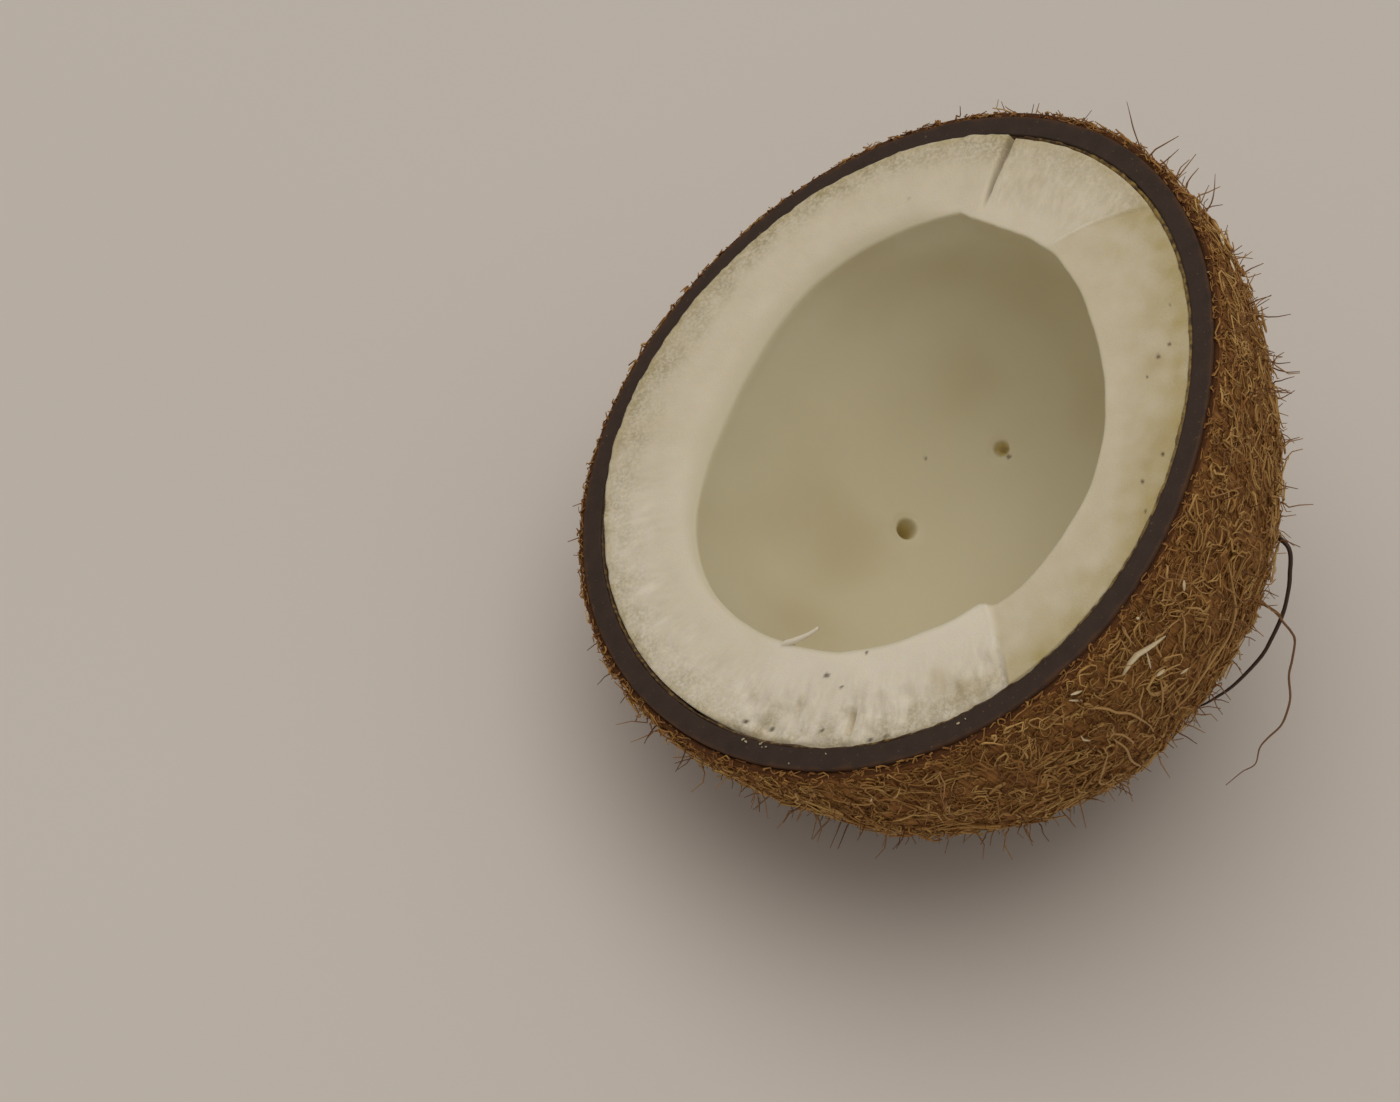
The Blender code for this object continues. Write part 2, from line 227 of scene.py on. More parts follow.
@dataclass(frozen=True)
class Nut:
    """The driving sizes of the half and how it lies, as the solids have them."""

    shell: Dome = Dome(54.4, 57.8)
    shell_wall: float = 3.2
    seat_gap: float = 0.3
    coir: Dome = Dome(56.4, 60.4)
    coir_at_rim: float = 1.0
    coir_swell_end: float = 14.0
    coir_below_cut: float = 0.6
    hollow: Dome = Dome(35.1, 42.0, (0.018, 0.071, 0.030, -0.031), (-1.1, 2.7), (-4.0, 4.5))
    lean_heading: float = -168.15
    lean: float = 29.6
    turn_on_axis: float = 22.7
    balance_point: tuple[float, float, float] = (-2.0, 2.2, -25.5)
    settle: float = 1.2
    pad_radius: float = 10.0
    pad_fade_radius: float = 24.0
    pad_packing: float = 2.6

    def pose(self) -> Matrix:
        """Matrix from the nut's frame to the resting frame, both in millimetres.

        Returns:
            The matrix.
        """
        turn = (
            Matrix.Rotation(math.radians(self.lean_heading), 4, "Z")
            @ Matrix.Rotation(math.radians(self.lean), 4, "Y")
            @ Matrix.Rotation(math.radians(self.turn_on_axis), 4, "Z")
        )
        places = self.coir.points(np.arange(0, 360, 3)[None, :], np.arange(0, 90, 2)[:, None]).reshape(-1, 3)
        lowest = float((places @ np.array(turn.to_3x3())[2]).min())
        balance = turn @ Vector(self.balance_point)
        return Matrix.Translation((-balance.x, -balance.y, -lowest - self.settle)) @ turn

    def placed(self, points: np.ndarray) -> np.ndarray:
        """Places of the nut's frame in the resting frame, millimetres."""
        pose = np.array(self.pose())
        return points @ pose[:3, :3].T + pose[:3, 3]

    def pressed(self, placed: np.ndarray) -> np.ndarray:
        """Places of the coat pressed flat on the surface and packed out below the balance point.

        Args:
            placed: places in the resting frame, millimetres.

        Returns:
            The places after pressing.
        """
        out = placed.copy()
        reach = np.hypot(out[..., 0], out[..., 1])
        packing = self.pad_packing * (1 - smooth(reach, self.pad_radius, self.pad_fade_radius))
        out[..., 2] = np.maximum(0.0, out[..., 2] - packing)
        return out


NUT = Nut()


def around(azimuth: Any, out: Any, height: Any = 0.0) -> np.ndarray:
    """Places at azimuths in degrees, a distance from the nut's axis and a height over the cut."""
    a = np.radians(azimuth)
    return np.stack(np.broadcast_arrays(out * np.cos(a), out * np.sin(a), height + 0 * a), -1)


def sheet_faces(rows: int, count: int, rows_meet: bool, ends_meet: bool) -> np.ndarray:
    """Corners of the four-sided faces of a sheet of vertices that stand in rows.

    Args:
        rows: how many rows.
        count: vertices in a row.
        rows_meet: whether the last row joins the first.
        ends_meet: whether each row's end joins its start.

    Returns:
        Four vertex numbers for each face.
    """
    numbers = np.arange(rows * count).reshape(rows, count)
    numbers = np.pad(numbers, ((0, int(rows_meet)), (0, int(ends_meet))), mode="wrap")
    corners = [numbers[:-1, :-1], numbers[:-1, 1:], numbers[1:, 1:], numbers[1:, :-1]]
    return np.stack(corners, -1).reshape(-1, 4)


def new_mesh(
    name: str, vertices: Any, faces: Any, marks: dict[str, np.ndarray] | None = None, flat: bool = False
) -> bpy.types.Mesh:
    """A mesh from its vertices and faces.

    Args:
        name: the mesh's name.
        vertices: places, metres.
        faces: vertex numbers for each face.
        marks: attribute name to a number, or to three, for each vertex.
        flat: whether its faces stay flat shaded.

    Returns:
        The mesh.
    """
    mesh = bpy.data.meshes.new(name)
    mesh.from_pydata(np.asarray(vertices).tolist(), [], [list(map(int, face)) for face in faces])
    for mark, values in (marks or {}).items():
        vector = values.ndim == 2 and values.shape[1] == 3
        layer = mesh.attributes.new(mark, "FLOAT_VECTOR" if vector else "FLOAT", "POINT")
        layer.data.foreach_set("vector" if vector else "value", values.astype(np.float32).ravel())
    if not flat:
        mesh.shade_smooth()
    return mesh


def bowl_mesh(
    name: str, rings: np.ndarray, poles: Sequence[np.ndarray], marks: dict[str, np.ndarray]
) -> bpy.types.Mesh:
    """A closed bowl from rings of places that run from the outer pole over the rim to the inner pole.

    Args:
        name: the mesh's name.
        rings: places in the resting frame, millimetres, as rows, places round the nut, and x, y, z.
        poles: the outer and the inner pole.
        marks: attribute name to a value for each place of the rings; the poles take their ring's mean.

    Returns:
        The mesh, in metres.
    """
    rows, count = rings.shape[:2]
    vertices = np.concatenate([rings.reshape(-1, 3), np.array(poles)]) * MM
    first, last = rows * count, rows * count + 1
    here = np.arange(count)
    there = np.roll(here, -1)
    bottom = first - count
    faces = [
        *sheet_faces(rows, count, False, True),
        *((first, b, a) for a, b in zip(here, there)),
        *((bottom + a, bottom + b, last) for a, b in zip(here, there)),
    ]
    values = {}
    for mark, rows_of_values in marks.items():
        table = rows_of_values.reshape(rows, count, -1)
        poles_too = [table.reshape(rows * count, -1), table[:1].mean(1), table[-1:].mean(1)]
        values[mark] = np.concatenate(poles_too)
    return new_mesh(name, vertices, faces, values)


def piece(name: str, mesh: bpy.types.Mesh, material: bpy.types.Material | None) -> bpy.types.Object:
    """Make a mesh a piece that rides on the half.

    Args:
        name: the piece's name.
        mesh: its mesh, already in place.
        material: its finish, or None where the mesh has one.

    Returns:
        The object.
    """
    if material is not None:
        mesh.materials.clear()
        mesh.materials.append(material)
    obj = bpy.data.objects.new(name, mesh)
    bpy.context.scene.collection.objects.link(obj)
    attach(obj, BODY)
    log.info("%s: %d faces", name, len(mesh.polygons))
    return obj


def new_material(name: str) -> tuple[bpy.types.Material, bpy.types.NodeTree, bpy.types.Node]:
    """A material with a bare Principled shader: the material, its tree and the shader.

    Args:
        name: the material's name.

    Returns:
        The three of them.
    """
    material = bpy.data.materials.new(name)
    material.use_nodes = True
    return material, material.node_tree, material.node_tree.nodes["Principled BSDF"]


@dataclass(frozen=True)
class FleshFinish:
    """Fresh coconut flesh, broken by hand: wet, waxy white with a smooth hollow, greyish partly as painted shade.

    Each mark that the flesh carries has the colour field of its name. "grain_way" runs along the broken grain.
    """

    face: str = "#EAE1CA"
    cream: str = "#D9CEB0"
    # white: whiter torn flesh, and a painted highlight along the raised crack.
    white: str = "#F8F0DD"
    streak: str = "#AEA380"
    crystal: str = "#AEA380"
    # hollow: the hollow's greyer tone, partly the smooth inner surface's own and partly painted shade.
    hollow: str = "#D8D0B2"
    stain: str = "#B09A5C"
    skin: str = "#C0AE74"
    # pit: painted light, a paler tone that lifts the shade inside the pricked holes.
    pit: str = "#F2E4B0"
    speck: str = "#4A3A22"
    # crack: painted shadow, darkening the sunk groove of a crack.
    crack: str = "#75664A"
    grain_mm: float = 0.3
    crystal_mm: float = 0.6
    cloud_mm: float = 7.0
    clear_crystal: tuple[float, float] = (0.85, 0.15)
    streak_depth: float = 0.34
    streak_gain: float = 1.8
    grain_height: tuple[float, float] = (0.35, 0.08)
    bump: float = 0.6
    bump_mm: float = 0.3
    rough: tuple[float, float] = (0.62, 0.48)
    specular: float = 0.35
    glow: float = 0.3
    glow_reach: tuple[float, float, float] = (1.0, 0.8, 0.45)
    glow_mm: float = 1.6

    def make(self) -> bpy.types.Material:
        """Build the material; light goes about 2 mm into the flesh, which softens its edges.

        Returns:
            The material.
        """
        material, tree, shader = new_material("coconut_flesh_fresh_broken")
        layers = ("white", "streak", "crystal", "hollow", "stain", "skin", "pit", "speck", "crack")
        place = add(tree, COORDINATES).outputs["Object"]
        grain_way = add(tree, ATTRIBUTE, attribute_name="grain_way").outputs["Vector"]
        marks = {mark: add(tree, ATTRIBUTE, attribute_name=mark).outputs["Fac"] for mark in layers}
        grain, cloud, gems = (
            add(tree, NOISE, {"Vector": place, "Scale": 1 / (size * MM), "Detail": detail})
            for size, detail in ((self.grain_mm, 3.0), (self.cloud_mm, 3.0), (self.crystal_mm, 2.0))
        )
        lines = add(tree, NOISE, {"Vector": grain_way, "Scale": 1.0, "Detail": 3.0})
        most, least = self.clear_crystal
        clear = add(tree, MAP_RANGE, {0: gems, 1: 0.40, 2: 0.62, 3: most, 4: least})
        dull = add(tree, MAP_RANGE, {0: lines, 1: 0.38, 2: 0.62, 3: self.streak_depth, 4: 0.0})
        dull = add(tree, MATH, {0: dull, 1: cloud}, operation="MULTIPLY")
        dull = add(tree, MATH, {0: dull, 1: self.streak_gain}, operation="MULTIPLY")
        amounts = dict(marks)
        for mark, share in (("crystal", clear), ("streak", dull)):
            amounts[mark] = add(tree, MATH, {0: marks[mark], 1: share}, operation="MULTIPLY")
        colours = {0: cloud, 6: linear(self.face), 7: linear(self.cream)}
        colour = add(tree, MIX, colours, data_type="RGBA")
        for mark in layers:
            colours = {0: amounts[mark], 6: colour, 7: linear(getattr(self, mark))}
            colour = add(tree, MIX, colours, data_type="RGBA")
        face, hollow = self.grain_height
        height = add(tree, MAP_RANGE, {0: marks["hollow"], 1: 0.0, 2: 1.0, 3: face, 4: hollow})
        height = add(tree, MATH, {0: marks["crystal"], 1: height}, operation="ADD")
        height = add(tree, MATH, {0: grain, 1: height}, operation="MULTIPLY")
        height = add(tree, MATH, {0: lines, 1: marks["streak"], 2: height}, operation="MULTIPLY_ADD")
        face, hollow = self.rough
        feed(shader, {
            "Base Color": colour,
            "Normal": add(
                tree, BUMP, {"Strength": self.bump, "Distance": self.bump_mm * MM, "Height": height}
            ),
            "Roughness": add(tree, MAP_RANGE, {0: marks["hollow"], 1: 0.0, 2: 1.0, 3: face, 4: hollow}),
            "Specular IOR Level": self.specular,
            "Subsurface Weight": self.glow,
            "Subsurface Radius": self.glow_reach,
            "Subsurface Scale": self.glow_mm * MM,
        })
        return material


@dataclass(frozen=True)
class SkinFinish:
    """The flesh's papery brown skin, torn where the flesh broke: dull, dark, with flakes that catch light."""

    dark: str = "#4A3218"
    gold: str = "#A58A48"
    flake_mm: float = 1.1
    gold_from: float = 0.62
    gold_full: float = 0.95
    bump: float = 0.6
    bump_mm: float = 0.2
    rough: float = 0.6

    def make(self) -> bpy.types.Material:
        """Build the material; "gilt" is how many golden flakes there are.

        Returns:
            The material.
        """
        material, tree, shader = new_material("coconut_skin_papery")
        place = add(tree, COORDINATES).outputs["Object"]
        gilt = add(tree, ATTRIBUTE, attribute_name="gilt").outputs["Fac"]
        flakes = add(tree, NOISE, {"Vector": place, "Scale": 1 / (self.flake_mm * MM), "Detail": 3.0})
        amount = add(tree, MATH, {0: flakes, 1: gilt}, operation="ADD")
        share = add(tree, MAP_RANGE, {0: amount, 1: self.gold_from, 2: self.gold_full, 3: 0.0, 4: 1.0})
        colours = {0: share, 6: linear(self.dark), 7: linear(self.gold)}
        feed(shader, {
            "Base Color": add(tree, MIX, colours, data_type="RGBA"),
            "Normal": add(
                tree, BUMP, {"Strength": self.bump, "Distance": self.bump_mm * MM, "Height": flakes}
            ),
            "Roughness": self.rough,
        })
        return material


@dataclass(frozen=True)
class ShellFinish:
    """Sawn coconut shell: dense, nearly black wood with fine pale pores and a rusty outer edge."""

    core: str = "#2F2119"
    grey: str = "#46362A"
    rust: str = "#55361E"
    pore: str = "#7A6446"
    saw_mm: float = 0.45
    cloud_mm: float = 2.4
    pore_mm: float = 0.5
    rust_from: float = 1.08
    rust_full: float = 1.32
    rust_share: float = 0.9
    pore_from: float = 0.68
    pore_full: float = 0.76
    pore_share: float = 0.6
    bump: float = 0.5
    bump_mm: float = 0.15
    rough: float = 0.62
    specular: float = 0.3

    def make(self) -> bpy.types.Material:
        """Build the material; "across" is 0 at the flesh and 1 at the coir.

        Returns:
            The material.
        """
        material, tree, shader = new_material("coconut_shell_sawn")
        place = add(tree, COORDINATES).outputs["Object"]
        across = add(tree, ATTRIBUTE, attribute_name="across").outputs["Fac"]
        cloud, saw, pores = (
            add(tree, NOISE, {"Vector": place, "Scale": 1 / (size * MM), "Detail": detail})
            for size, detail in ((self.cloud_mm, 4.0), (self.saw_mm, 3.0), (self.pore_mm, 2.0))
        )
        wavy = add(tree, MATH, {0: cloud, 1: 0.5}, operation="MULTIPLY")
        reach = add(tree, MATH, {0: across, 1: wavy}, operation="ADD")
        rusty = {0: reach, 1: self.rust_from, 2: self.rust_full, 3: 0.0, 4: self.rust_share}
        dots = {0: pores, 1: self.pore_from, 2: self.pore_full, 3: 0.0, 4: self.pore_share}
        colour = linear(self.core)
        for share, tint in (
            (cloud, self.grey), (add(tree, MAP_RANGE, rusty), self.rust),
            (add(tree, MAP_RANGE, dots), self.pore),
        ):
            colour = add(tree, MIX, {0: share, 6: colour, 7: linear(tint)}, data_type="RGBA")
        feed(shader, {
            "Base Color": colour,
            "Normal": add(tree, BUMP, {"Strength": self.bump, "Distance": self.bump_mm * MM, "Height": saw}),
            "Roughness": self.rough,
            "Specular IOR Level": self.specular,
        })
        return material


@dataclass(frozen=True)
class MattedCoirFinish:
    """The felted base of the coat: brown pith and broken fibre ends, dull, rusty where it meets the shell, darker
    in its grooves partly as painted shade.
    """

    pith: str = "#AB7A43"
    # deep: darker fibre tone on the low grain lines, partly painted shade in the grooves between fibres.
    deep: str = "#724A26"
    rust: str = "#704726"
    fibre_mm: float = 0.5
    bump: float = 0.8
    bump_mm: float = 0.4
    rough: float = 0.9
    specular: float = 0.2

    def make(self) -> bpy.types.Material:
        """Build the material; "grain_way" runs along the fibres and "rim" is 1 at the cut.

        Returns:
            The material.
        """
        material, tree, shader = new_material("coir_matted")
        way = add(tree, ATTRIBUTE, attribute_name="grain_way").outputs["Vector"]
        rim = add(tree, ATTRIBUTE, attribute_name="rim").outputs["Fac"]
        lines = add(tree, NOISE, {"Vector": way, "Scale": 1 / self.fibre_mm, "Detail": 3.0})
        # The low lines of the grain, which the bump also sinks, take the deep colour: partly darker fibre, partly
        # painted shade.
        share = add(tree, MAP_RANGE, {0: lines, 1: 0.35, 2: 0.65, 3: 0.0, 4: 1.0})
        colour = linear(self.deep)
        for amount, tint in ((share, self.pith), (rim, self.rust)):
            colour = add(tree, MIX, {0: amount, 6: colour, 7: linear(tint)}, data_type="RGBA")
        bump = {"Strength": self.bump, "Distance": self.bump_mm * MM, "Height": lines}
        feed(shader, {
            "Base Color": colour,
            "Normal": add(tree, BUMP, bump),
            "Roughness": self.rough,
            "Specular IOR Level": self.specular,
        })
        return material


@dataclass(frozen=True)
class FibreFinish:
    """Dry coir fibres: dull, slightly waxy, from rusty brown to straw, each fibre one tone."""

    name: str
    dark: str
    light: str
    # How much the root is darkened, as painted shade.
    painted_root_shade: float = 0.45
    rough: float = 0.75
    specular: float = 0.3

    def make(self) -> bpy.types.Material:
        """Build the material; "tone" is each fibre's own tone and "reach" runs from root to tip; towards the root
        the colour is darkened as painted shade where the fibre lies in the coat.

        Returns:
            The material.
        """
        material, tree, shader = new_material(self.name)
        tone = add(tree, ATTRIBUTE, attribute_name="tone").outputs["Fac"]
        reach = add(tree, ATTRIBUTE, attribute_name="reach").outputs["Fac"]
        dark, light = linear(self.dark), linear(self.light)
        colour = add(tree, MIX, {0: tone, 6: dark, 7: light}, data_type="RGBA")
        # Painted shade: the colour darkens towards the fibre's root, among the other fibres.
        share = add(tree, MAP_RANGE, {0: reach, 1: 0.0, 2: 0.5, 3: self.painted_root_shade, 4: 0.0})
        feed(shader, {
            "Base Color": add(tree, MIX, {0: share, 6: colour, 7: dark}, data_type="RGBA"),
            "Roughness": self.rough,
            "Specular IOR Level": self.specular,
        })
        return material


@dataclass(frozen=True)
class PlainFinish:
    """A small piece's finish, dry fibre or flesh: one tone with fine mottling and no gloss."""

    name: str
    colour: str
    mottle: str
    rough: float
    mottle_mm: float = 0.6

    def make(self) -> bpy.types.Material:
        """Build the material.

        Returns:
            The material.
        """
        material, tree, shader = new_material(self.name)
        place = add(tree, COORDINATES).outputs["Object"]
        cloud = add(tree, NOISE, {"Vector": place, "Scale": 1 / (self.mottle_mm * MM), "Detail": 2.0})
        colours = {0: cloud, 6: linear(self.colour), 7: linear(self.mottle)}
        colour = add(tree, MIX, colours, data_type="RGBA")
        feed(shader, {"Base Color": colour, "Roughness": self.rough})
        return material


@dataclass(frozen=True)
class Crack:
    """A break line across the flesh's edge: azimuths and softness at the shell and at the hollow, degrees.

    Its groove is crease millimetres deep, raised where that is negative, and fades over a stretch of the way
    across the flesh.
    """

    at_shell: float
    at_hollow: float
    soft_at_shell: float
    soft_at_hollow: float
    crease: float = 0.0
    fades: tuple[float, float] = (0.60, 0.90)
    mid_radius: float = 46.0
    groove_aside: float = 0.2
    groove_width: float = 0.28

    def passed(self, azimuth: np.ndarray, share: np.ndarray) -> np.ndarray:
        """0 before the crack and 1 past it, for places round the nut and across the flesh.

        Args:
            azimuth: degrees round the nut.
            share: way across the flesh, 0 at the shell and 1 at the hollow.

        Returns:
            A share for each place.
        """
        line = self.at_shell + (self.at_hollow - self.at_shell) * share
        soft = self.soft_at_shell + (self.soft_at_hollow - self.soft_at_shell) * share
        return smooth(azimuth, line - soft / 2, line + soft / 2)

    def creased(self, azimuth: np.ndarray, share: np.ndarray) -> np.ndarray:
        """How deep the groove along the crack is, as a share of its full depth.

        Args:
            azimuth: degrees round the nut.
            share: way across the flesh, 0 at the shell and 1 at the hollow.

        Returns:
            A share for each place.
        """
        line = self.at_shell + (self.at_hollow - self.at_shell) * share
        away = (azimuth - line) * math.pi / 180 * self.mid_radius + self.groove_aside
        return np.exp(-(away / self.groove_width) ** 2) * (1 - smooth(share, *self.fades))


@dataclass(frozen=True)
class BrokenFace:
    """The flesh between two cracks: heights over the cut at both sides, then how strong each quality is."""

    at_shell: float
    at_hollow: float
    crystal: float
    streak: float
    torn: float
    white: float
    green: float


@dataclass
class Flesh:
    """The kernel: broken edge, smooth hollow with pricked holes, stains and specks."""

    segments: int = 540
    # Start, end and number of the places round the nut where they stand closer together.
    fine: tuple[tuple[float, float, int], ...] = (
        (206.2, 213.0, 50), (173.4, 186.0, 40), (70.6, 76.4, 34), (42.0, 44.0, 8),
    )
    back_rows: int = 8
    face_rows: int = 52
    skin_seat: float = 0.45
    back_gap: float = 0.05
    cracks: tuple[Crack, ...] = (
        Crack(20.0, 17.0, 12.0, 14.0),
        Crack(72.0, 73.4, 1.2, 2.0),
        Crack(174.7, 190.0, 0.9, 3.0, -0.28, (0.80, 1.0)),
        Crack(207.7, 212.0, 0.35, 3.0, 0.55),
        Crack(318.0, 314.0, 24.0, 30.0),
    )
    # The face after each crack, in the same order.
    faces: tuple[BrokenFace, ...] = (
        BrokenFace(-0.9, 0.9, 0.45, 0.35, 1.0, 0.9, 0.1),
        BrokenFace(-0.4, 0.1, 0.25, 0.1, 0.0, 0.1, 1.0),
        BrokenFace(0.1, -0.2, 0.45, 0.65, 0.0, 0.45, 0.35),
        BrokenFace(1.2, -0.1, 0.9, 0.15, 0.0, 0.3, 0.25),
        BrokenFace(0.1, 0.3, 0.6, 0.3, 0.3, 0.5, 0.15),
    )
    # Height and size of the flesh's lumps and of its crystals.
    lump: tuple[float, float] = (0.16, 5.0)
    crystal: tuple[float, float] = (0.30, 1.6)
    streak_height: float = 0.22
    ledge_depth: float = 0.55
    tear_depth: float = 0.55
    brim_depth: float = 0.35
    # Azimuth, and how far the hollow's edge stands out of its smooth outline.
    hollow_edge: tuple[tuple[float, float], ...] = (
        (0.0, 0.2), (20.0, 0.2), (30.0, 0.6), (36.0, 0.9), (40.0, 0.7), (50.0, 0.4), (56.0, 0.1), (65.0, 0.1),
        (70.0, -0.1), (71.6, 0.0), (73.4, 0.7), (75.0, 0.95), (81.0, 1.0), (90.0, 0.5), (98.0, 0.0),
        (186.0, 0.0), (192.0, -0.4), (200.0, -0.8), (206.0, -0.9), (210.0, -0.6), (214.0, -0.1), (217.5, 0.9),
        (222.0, 0.6), (228.0, 0.5), (290.0, 0.4), (325.0, 0.2), (360.0, 0.2),
    )
    # Azimuth, and how much wider the hollow's mouth is than the bowl below it.
    hollow_swell: tuple[tuple[float, float], ...] = (
        (0.0, 0.3), (15.0, 0.0), (226.0, 0.0), (236.0, 0.6), (245.0, 1.4), (255.0, 2.3), (265.0, 2.9),
        (275.0, 3.2), (290.0, 3.2), (310.0, 2.7), (330.0, 1.8), (348.0, 0.8), (360.0, 0.3),
    )
    # How deep the edge rolls over into the hollow, and the azimuths where it starts, is full, wanes and ends.
    roll: float = 1.3
    roll_span: tuple[float, float, float, float] = (213.0, 240.0, 300.0, 372.0)
    # Azimuth, place across the flesh, depth, half width and half length of the short split in the torn flesh.
    split: tuple[float, float, float, float, float] = (43.0, 0.25, 1.6, 0.45, 1.9)
    split_radius: float = 47.0
    # Azimuth, latitude, width and depth of each pricked hole.
    holes: tuple[tuple[float, float, float, float], ...] = ((301.7, 50.3, 3.3, 7.0), (244.6, 58.2, 2.6, 4.5))
    # How far inside a hole's edge its funnel is at full depth, and how far outside the edge it starts.
    funnel: tuple[float, float] = (1.35, 0.25)
    # Height, distance from the hole's edge and width of the burr round each hole.
    burr: tuple[float, float, float] = (0.12, 0.5, 0.45)
    # Azimuth, latitude and size of each scrap in the hollow.
    debris: tuple[tuple[float, float, float], ...] = (
        (243.6, 60.7, 0.36), (242.7, 60.9, 0.26), (271.0, 46.0, 0.25),
    )
    # Azimuth, distance from the nut's axis, size and strength of each yellow-brown stain.
    stains: tuple[tuple[float, float, float, float], ...] = (
        (147.0, 45.0, 4.5, 0.40), (141.0, 43.6, 3.0, 0.45), (123.0, 46.0, 5.0, 0.55), (116.5, 45.5, 4.5, 0.5),
        (108.0, 48.5, 4.0, 0.35), (66.0, 49.5, 2.6, 0.7), (61.0, 46.0, 2.2, 0.35), (132.0, 47.0, 4.0, 0.25),
    )
    # Azimuth, distance from the nut's axis and size of each dark speck.
    specks: tuple[tuple[float, float, float], ...] = (
        (141.5, 43.2, 0.34), (143.5, 45.0, 0.22), (137.0, 41.5, 0.2), (120.0, 46.2, 0.28), (114.0, 44.8, 0.25),
        (128.0, 48.0, 0.22), (226.0, 43.0, 0.22), (230.0, 47.6, 0.2), (38.0, 41.5, 0.40), (47.0, 38.6, 0.25),
        (41.6, 43.4, 0.2), (38.5, 49.6, 0.34), (23.0, 49.8, 0.38), (28.4, 49.9, 0.42), (152.0, 46.2, 0.22),
        (47.5, 51.6, 0.35), (50.5, 51.6, 0.35), (108.5, 47.5, 0.25),
    )
    speck_tone: float = 0.95
    debris_tone: float = 0.8

    def azimuths(self) -> np.ndarray:
        """Places round the nut in degrees, closer together along the cracks.

        Returns:
            One row of azimuths.
        """
        places = np.linspace(0, 360, self.segments, endpoint=False)
        for start, end, count in self.fine:
            places = places[(places < start) | (places > end)]
            places = np.concatenate([places, np.linspace(start, end, count)])
        return np.sort(places)[None, :]

    def face_shares(self, azimuth: np.ndarray, share: np.ndarray) -> list[np.ndarray]:
        """How much of each broken face there is at places round the nut and across the flesh.

        Args:
            azimuth: degrees round the nut.
            share: way across the flesh, 0 at the shell and 1 at the hollow.

        Returns:
            The shares of each face, in the faces' order.
        """
        passed = [crack.passed(azimuth, share) for crack in self.cracks]
        shares = [near - far for near, far in zip(passed, passed[1:])]
        return shares + [passed[-1] + 1 - passed[0]]

    def blended(self, shares: list[np.ndarray], quality: str) -> np.ndarray:
        """One quality of the broken faces, blended by their shares."""
        return sum(part * getattr(face, quality) for part, face in zip(shares, self.faces))

    def edge(self) -> tuple[np.ndarray, np.ndarray, dict[str, np.ndarray]]:
        """The broken edge: places, heights included, height at the hollow, and the marks it carries.

        Returns:
            Places in the nut's frame, heights at the hollow, and each mark's values.
        """
        share = np.linspace(0, 1, self.face_rows)[:, None]
        azimuth, share = np.broadcast_arrays(self.azimuths(), share)
        shares = self.face_shares(azimuth, share)
        outer = NUT.shell.points(azimuth, 0 * azimuth, -NUT.shell_wall - NUT.seat_gap - self.skin_seat)
        inner = self.widened(NUT.hollow.points(azimuth, 0 * azimuth), self.lip(azimuth) + self.swollen(azimuth))
        places = outer + (inner - outer) * share[..., None]
        width = np.linalg.norm(outer - inner, axis=-1)
        ring = around(azimuth, NUT.shell.radius * 0.85)
        across = np.stack([0 * share, 0 * share, share * width], -1)
        lines = roughness(ring / 1.3 + across / 5.0, 1.0, 3, 5)
        tears = roughness(ring / 1.5 + across / 2.2, 1.0, 3, 9)
        tufts = roughness(ring / 1.9 + across / 3.4, 1.0, 2, 19)
        shell_side, hollow_side = self.blended(shares, "at_shell"), self.blended(shares, "at_hollow")
        height = shell_side + (hollow_side - shell_side) * share ** 1.5
        height -= sum(crack.crease * crack.creased(azimuth, share) for crack in self.cracks)
        # Painted highlight: the raised crack's lit edge, painted white.
        ridge_highlight = sum(max(0.0, -crack.crease) * crack.creased(azimuth, share) for crack in self.cracks)
        # Painted shadow in the groove where a crack is sunk.
        dark = sum(max(0.0, crack.crease) * crack.creased(azimuth, share) for crack in self.cracks)
        rolled = self.rolled(azimuth)
        height -= self.roll * rolled * np.clip((share - 0.62) / 0.38, 0, 1) ** 2.0
        reach = 0.50 + 0.12 * roughness(places, 6.0, 2, 29)
        crystal = self.blended(shares, "crystal") * (1 - smooth(share, 0.05, reach))
        streak = self.blended(shares, "streak") * (1 - smooth(share, 0.5, 0.95))
        torn = self.blended(shares, "torn")
        height += self.lump[0] * roughness(places, self.lump[1], 3, 21) * (1 - smooth(share, 0.85, 1.0))
        height += crystal * self.crystal[0] * roughness(places, self.crystal[1], 2, 31)
        height += streak * self.streak_height * lines
        ragged = 0.52 + 0.22 * roughness(ring / 2.2, 1.0, 3, 41)
        ledge = smooth(ragged - share, -0.05, 0.22) * torn
        height -= ledge * (self.ledge_depth + self.tear_depth * tears)
        height -= self.brim_depth * torn * smooth(-share, -0.07, 0.0)
        height -= self.gouge(azimuth, share, width)
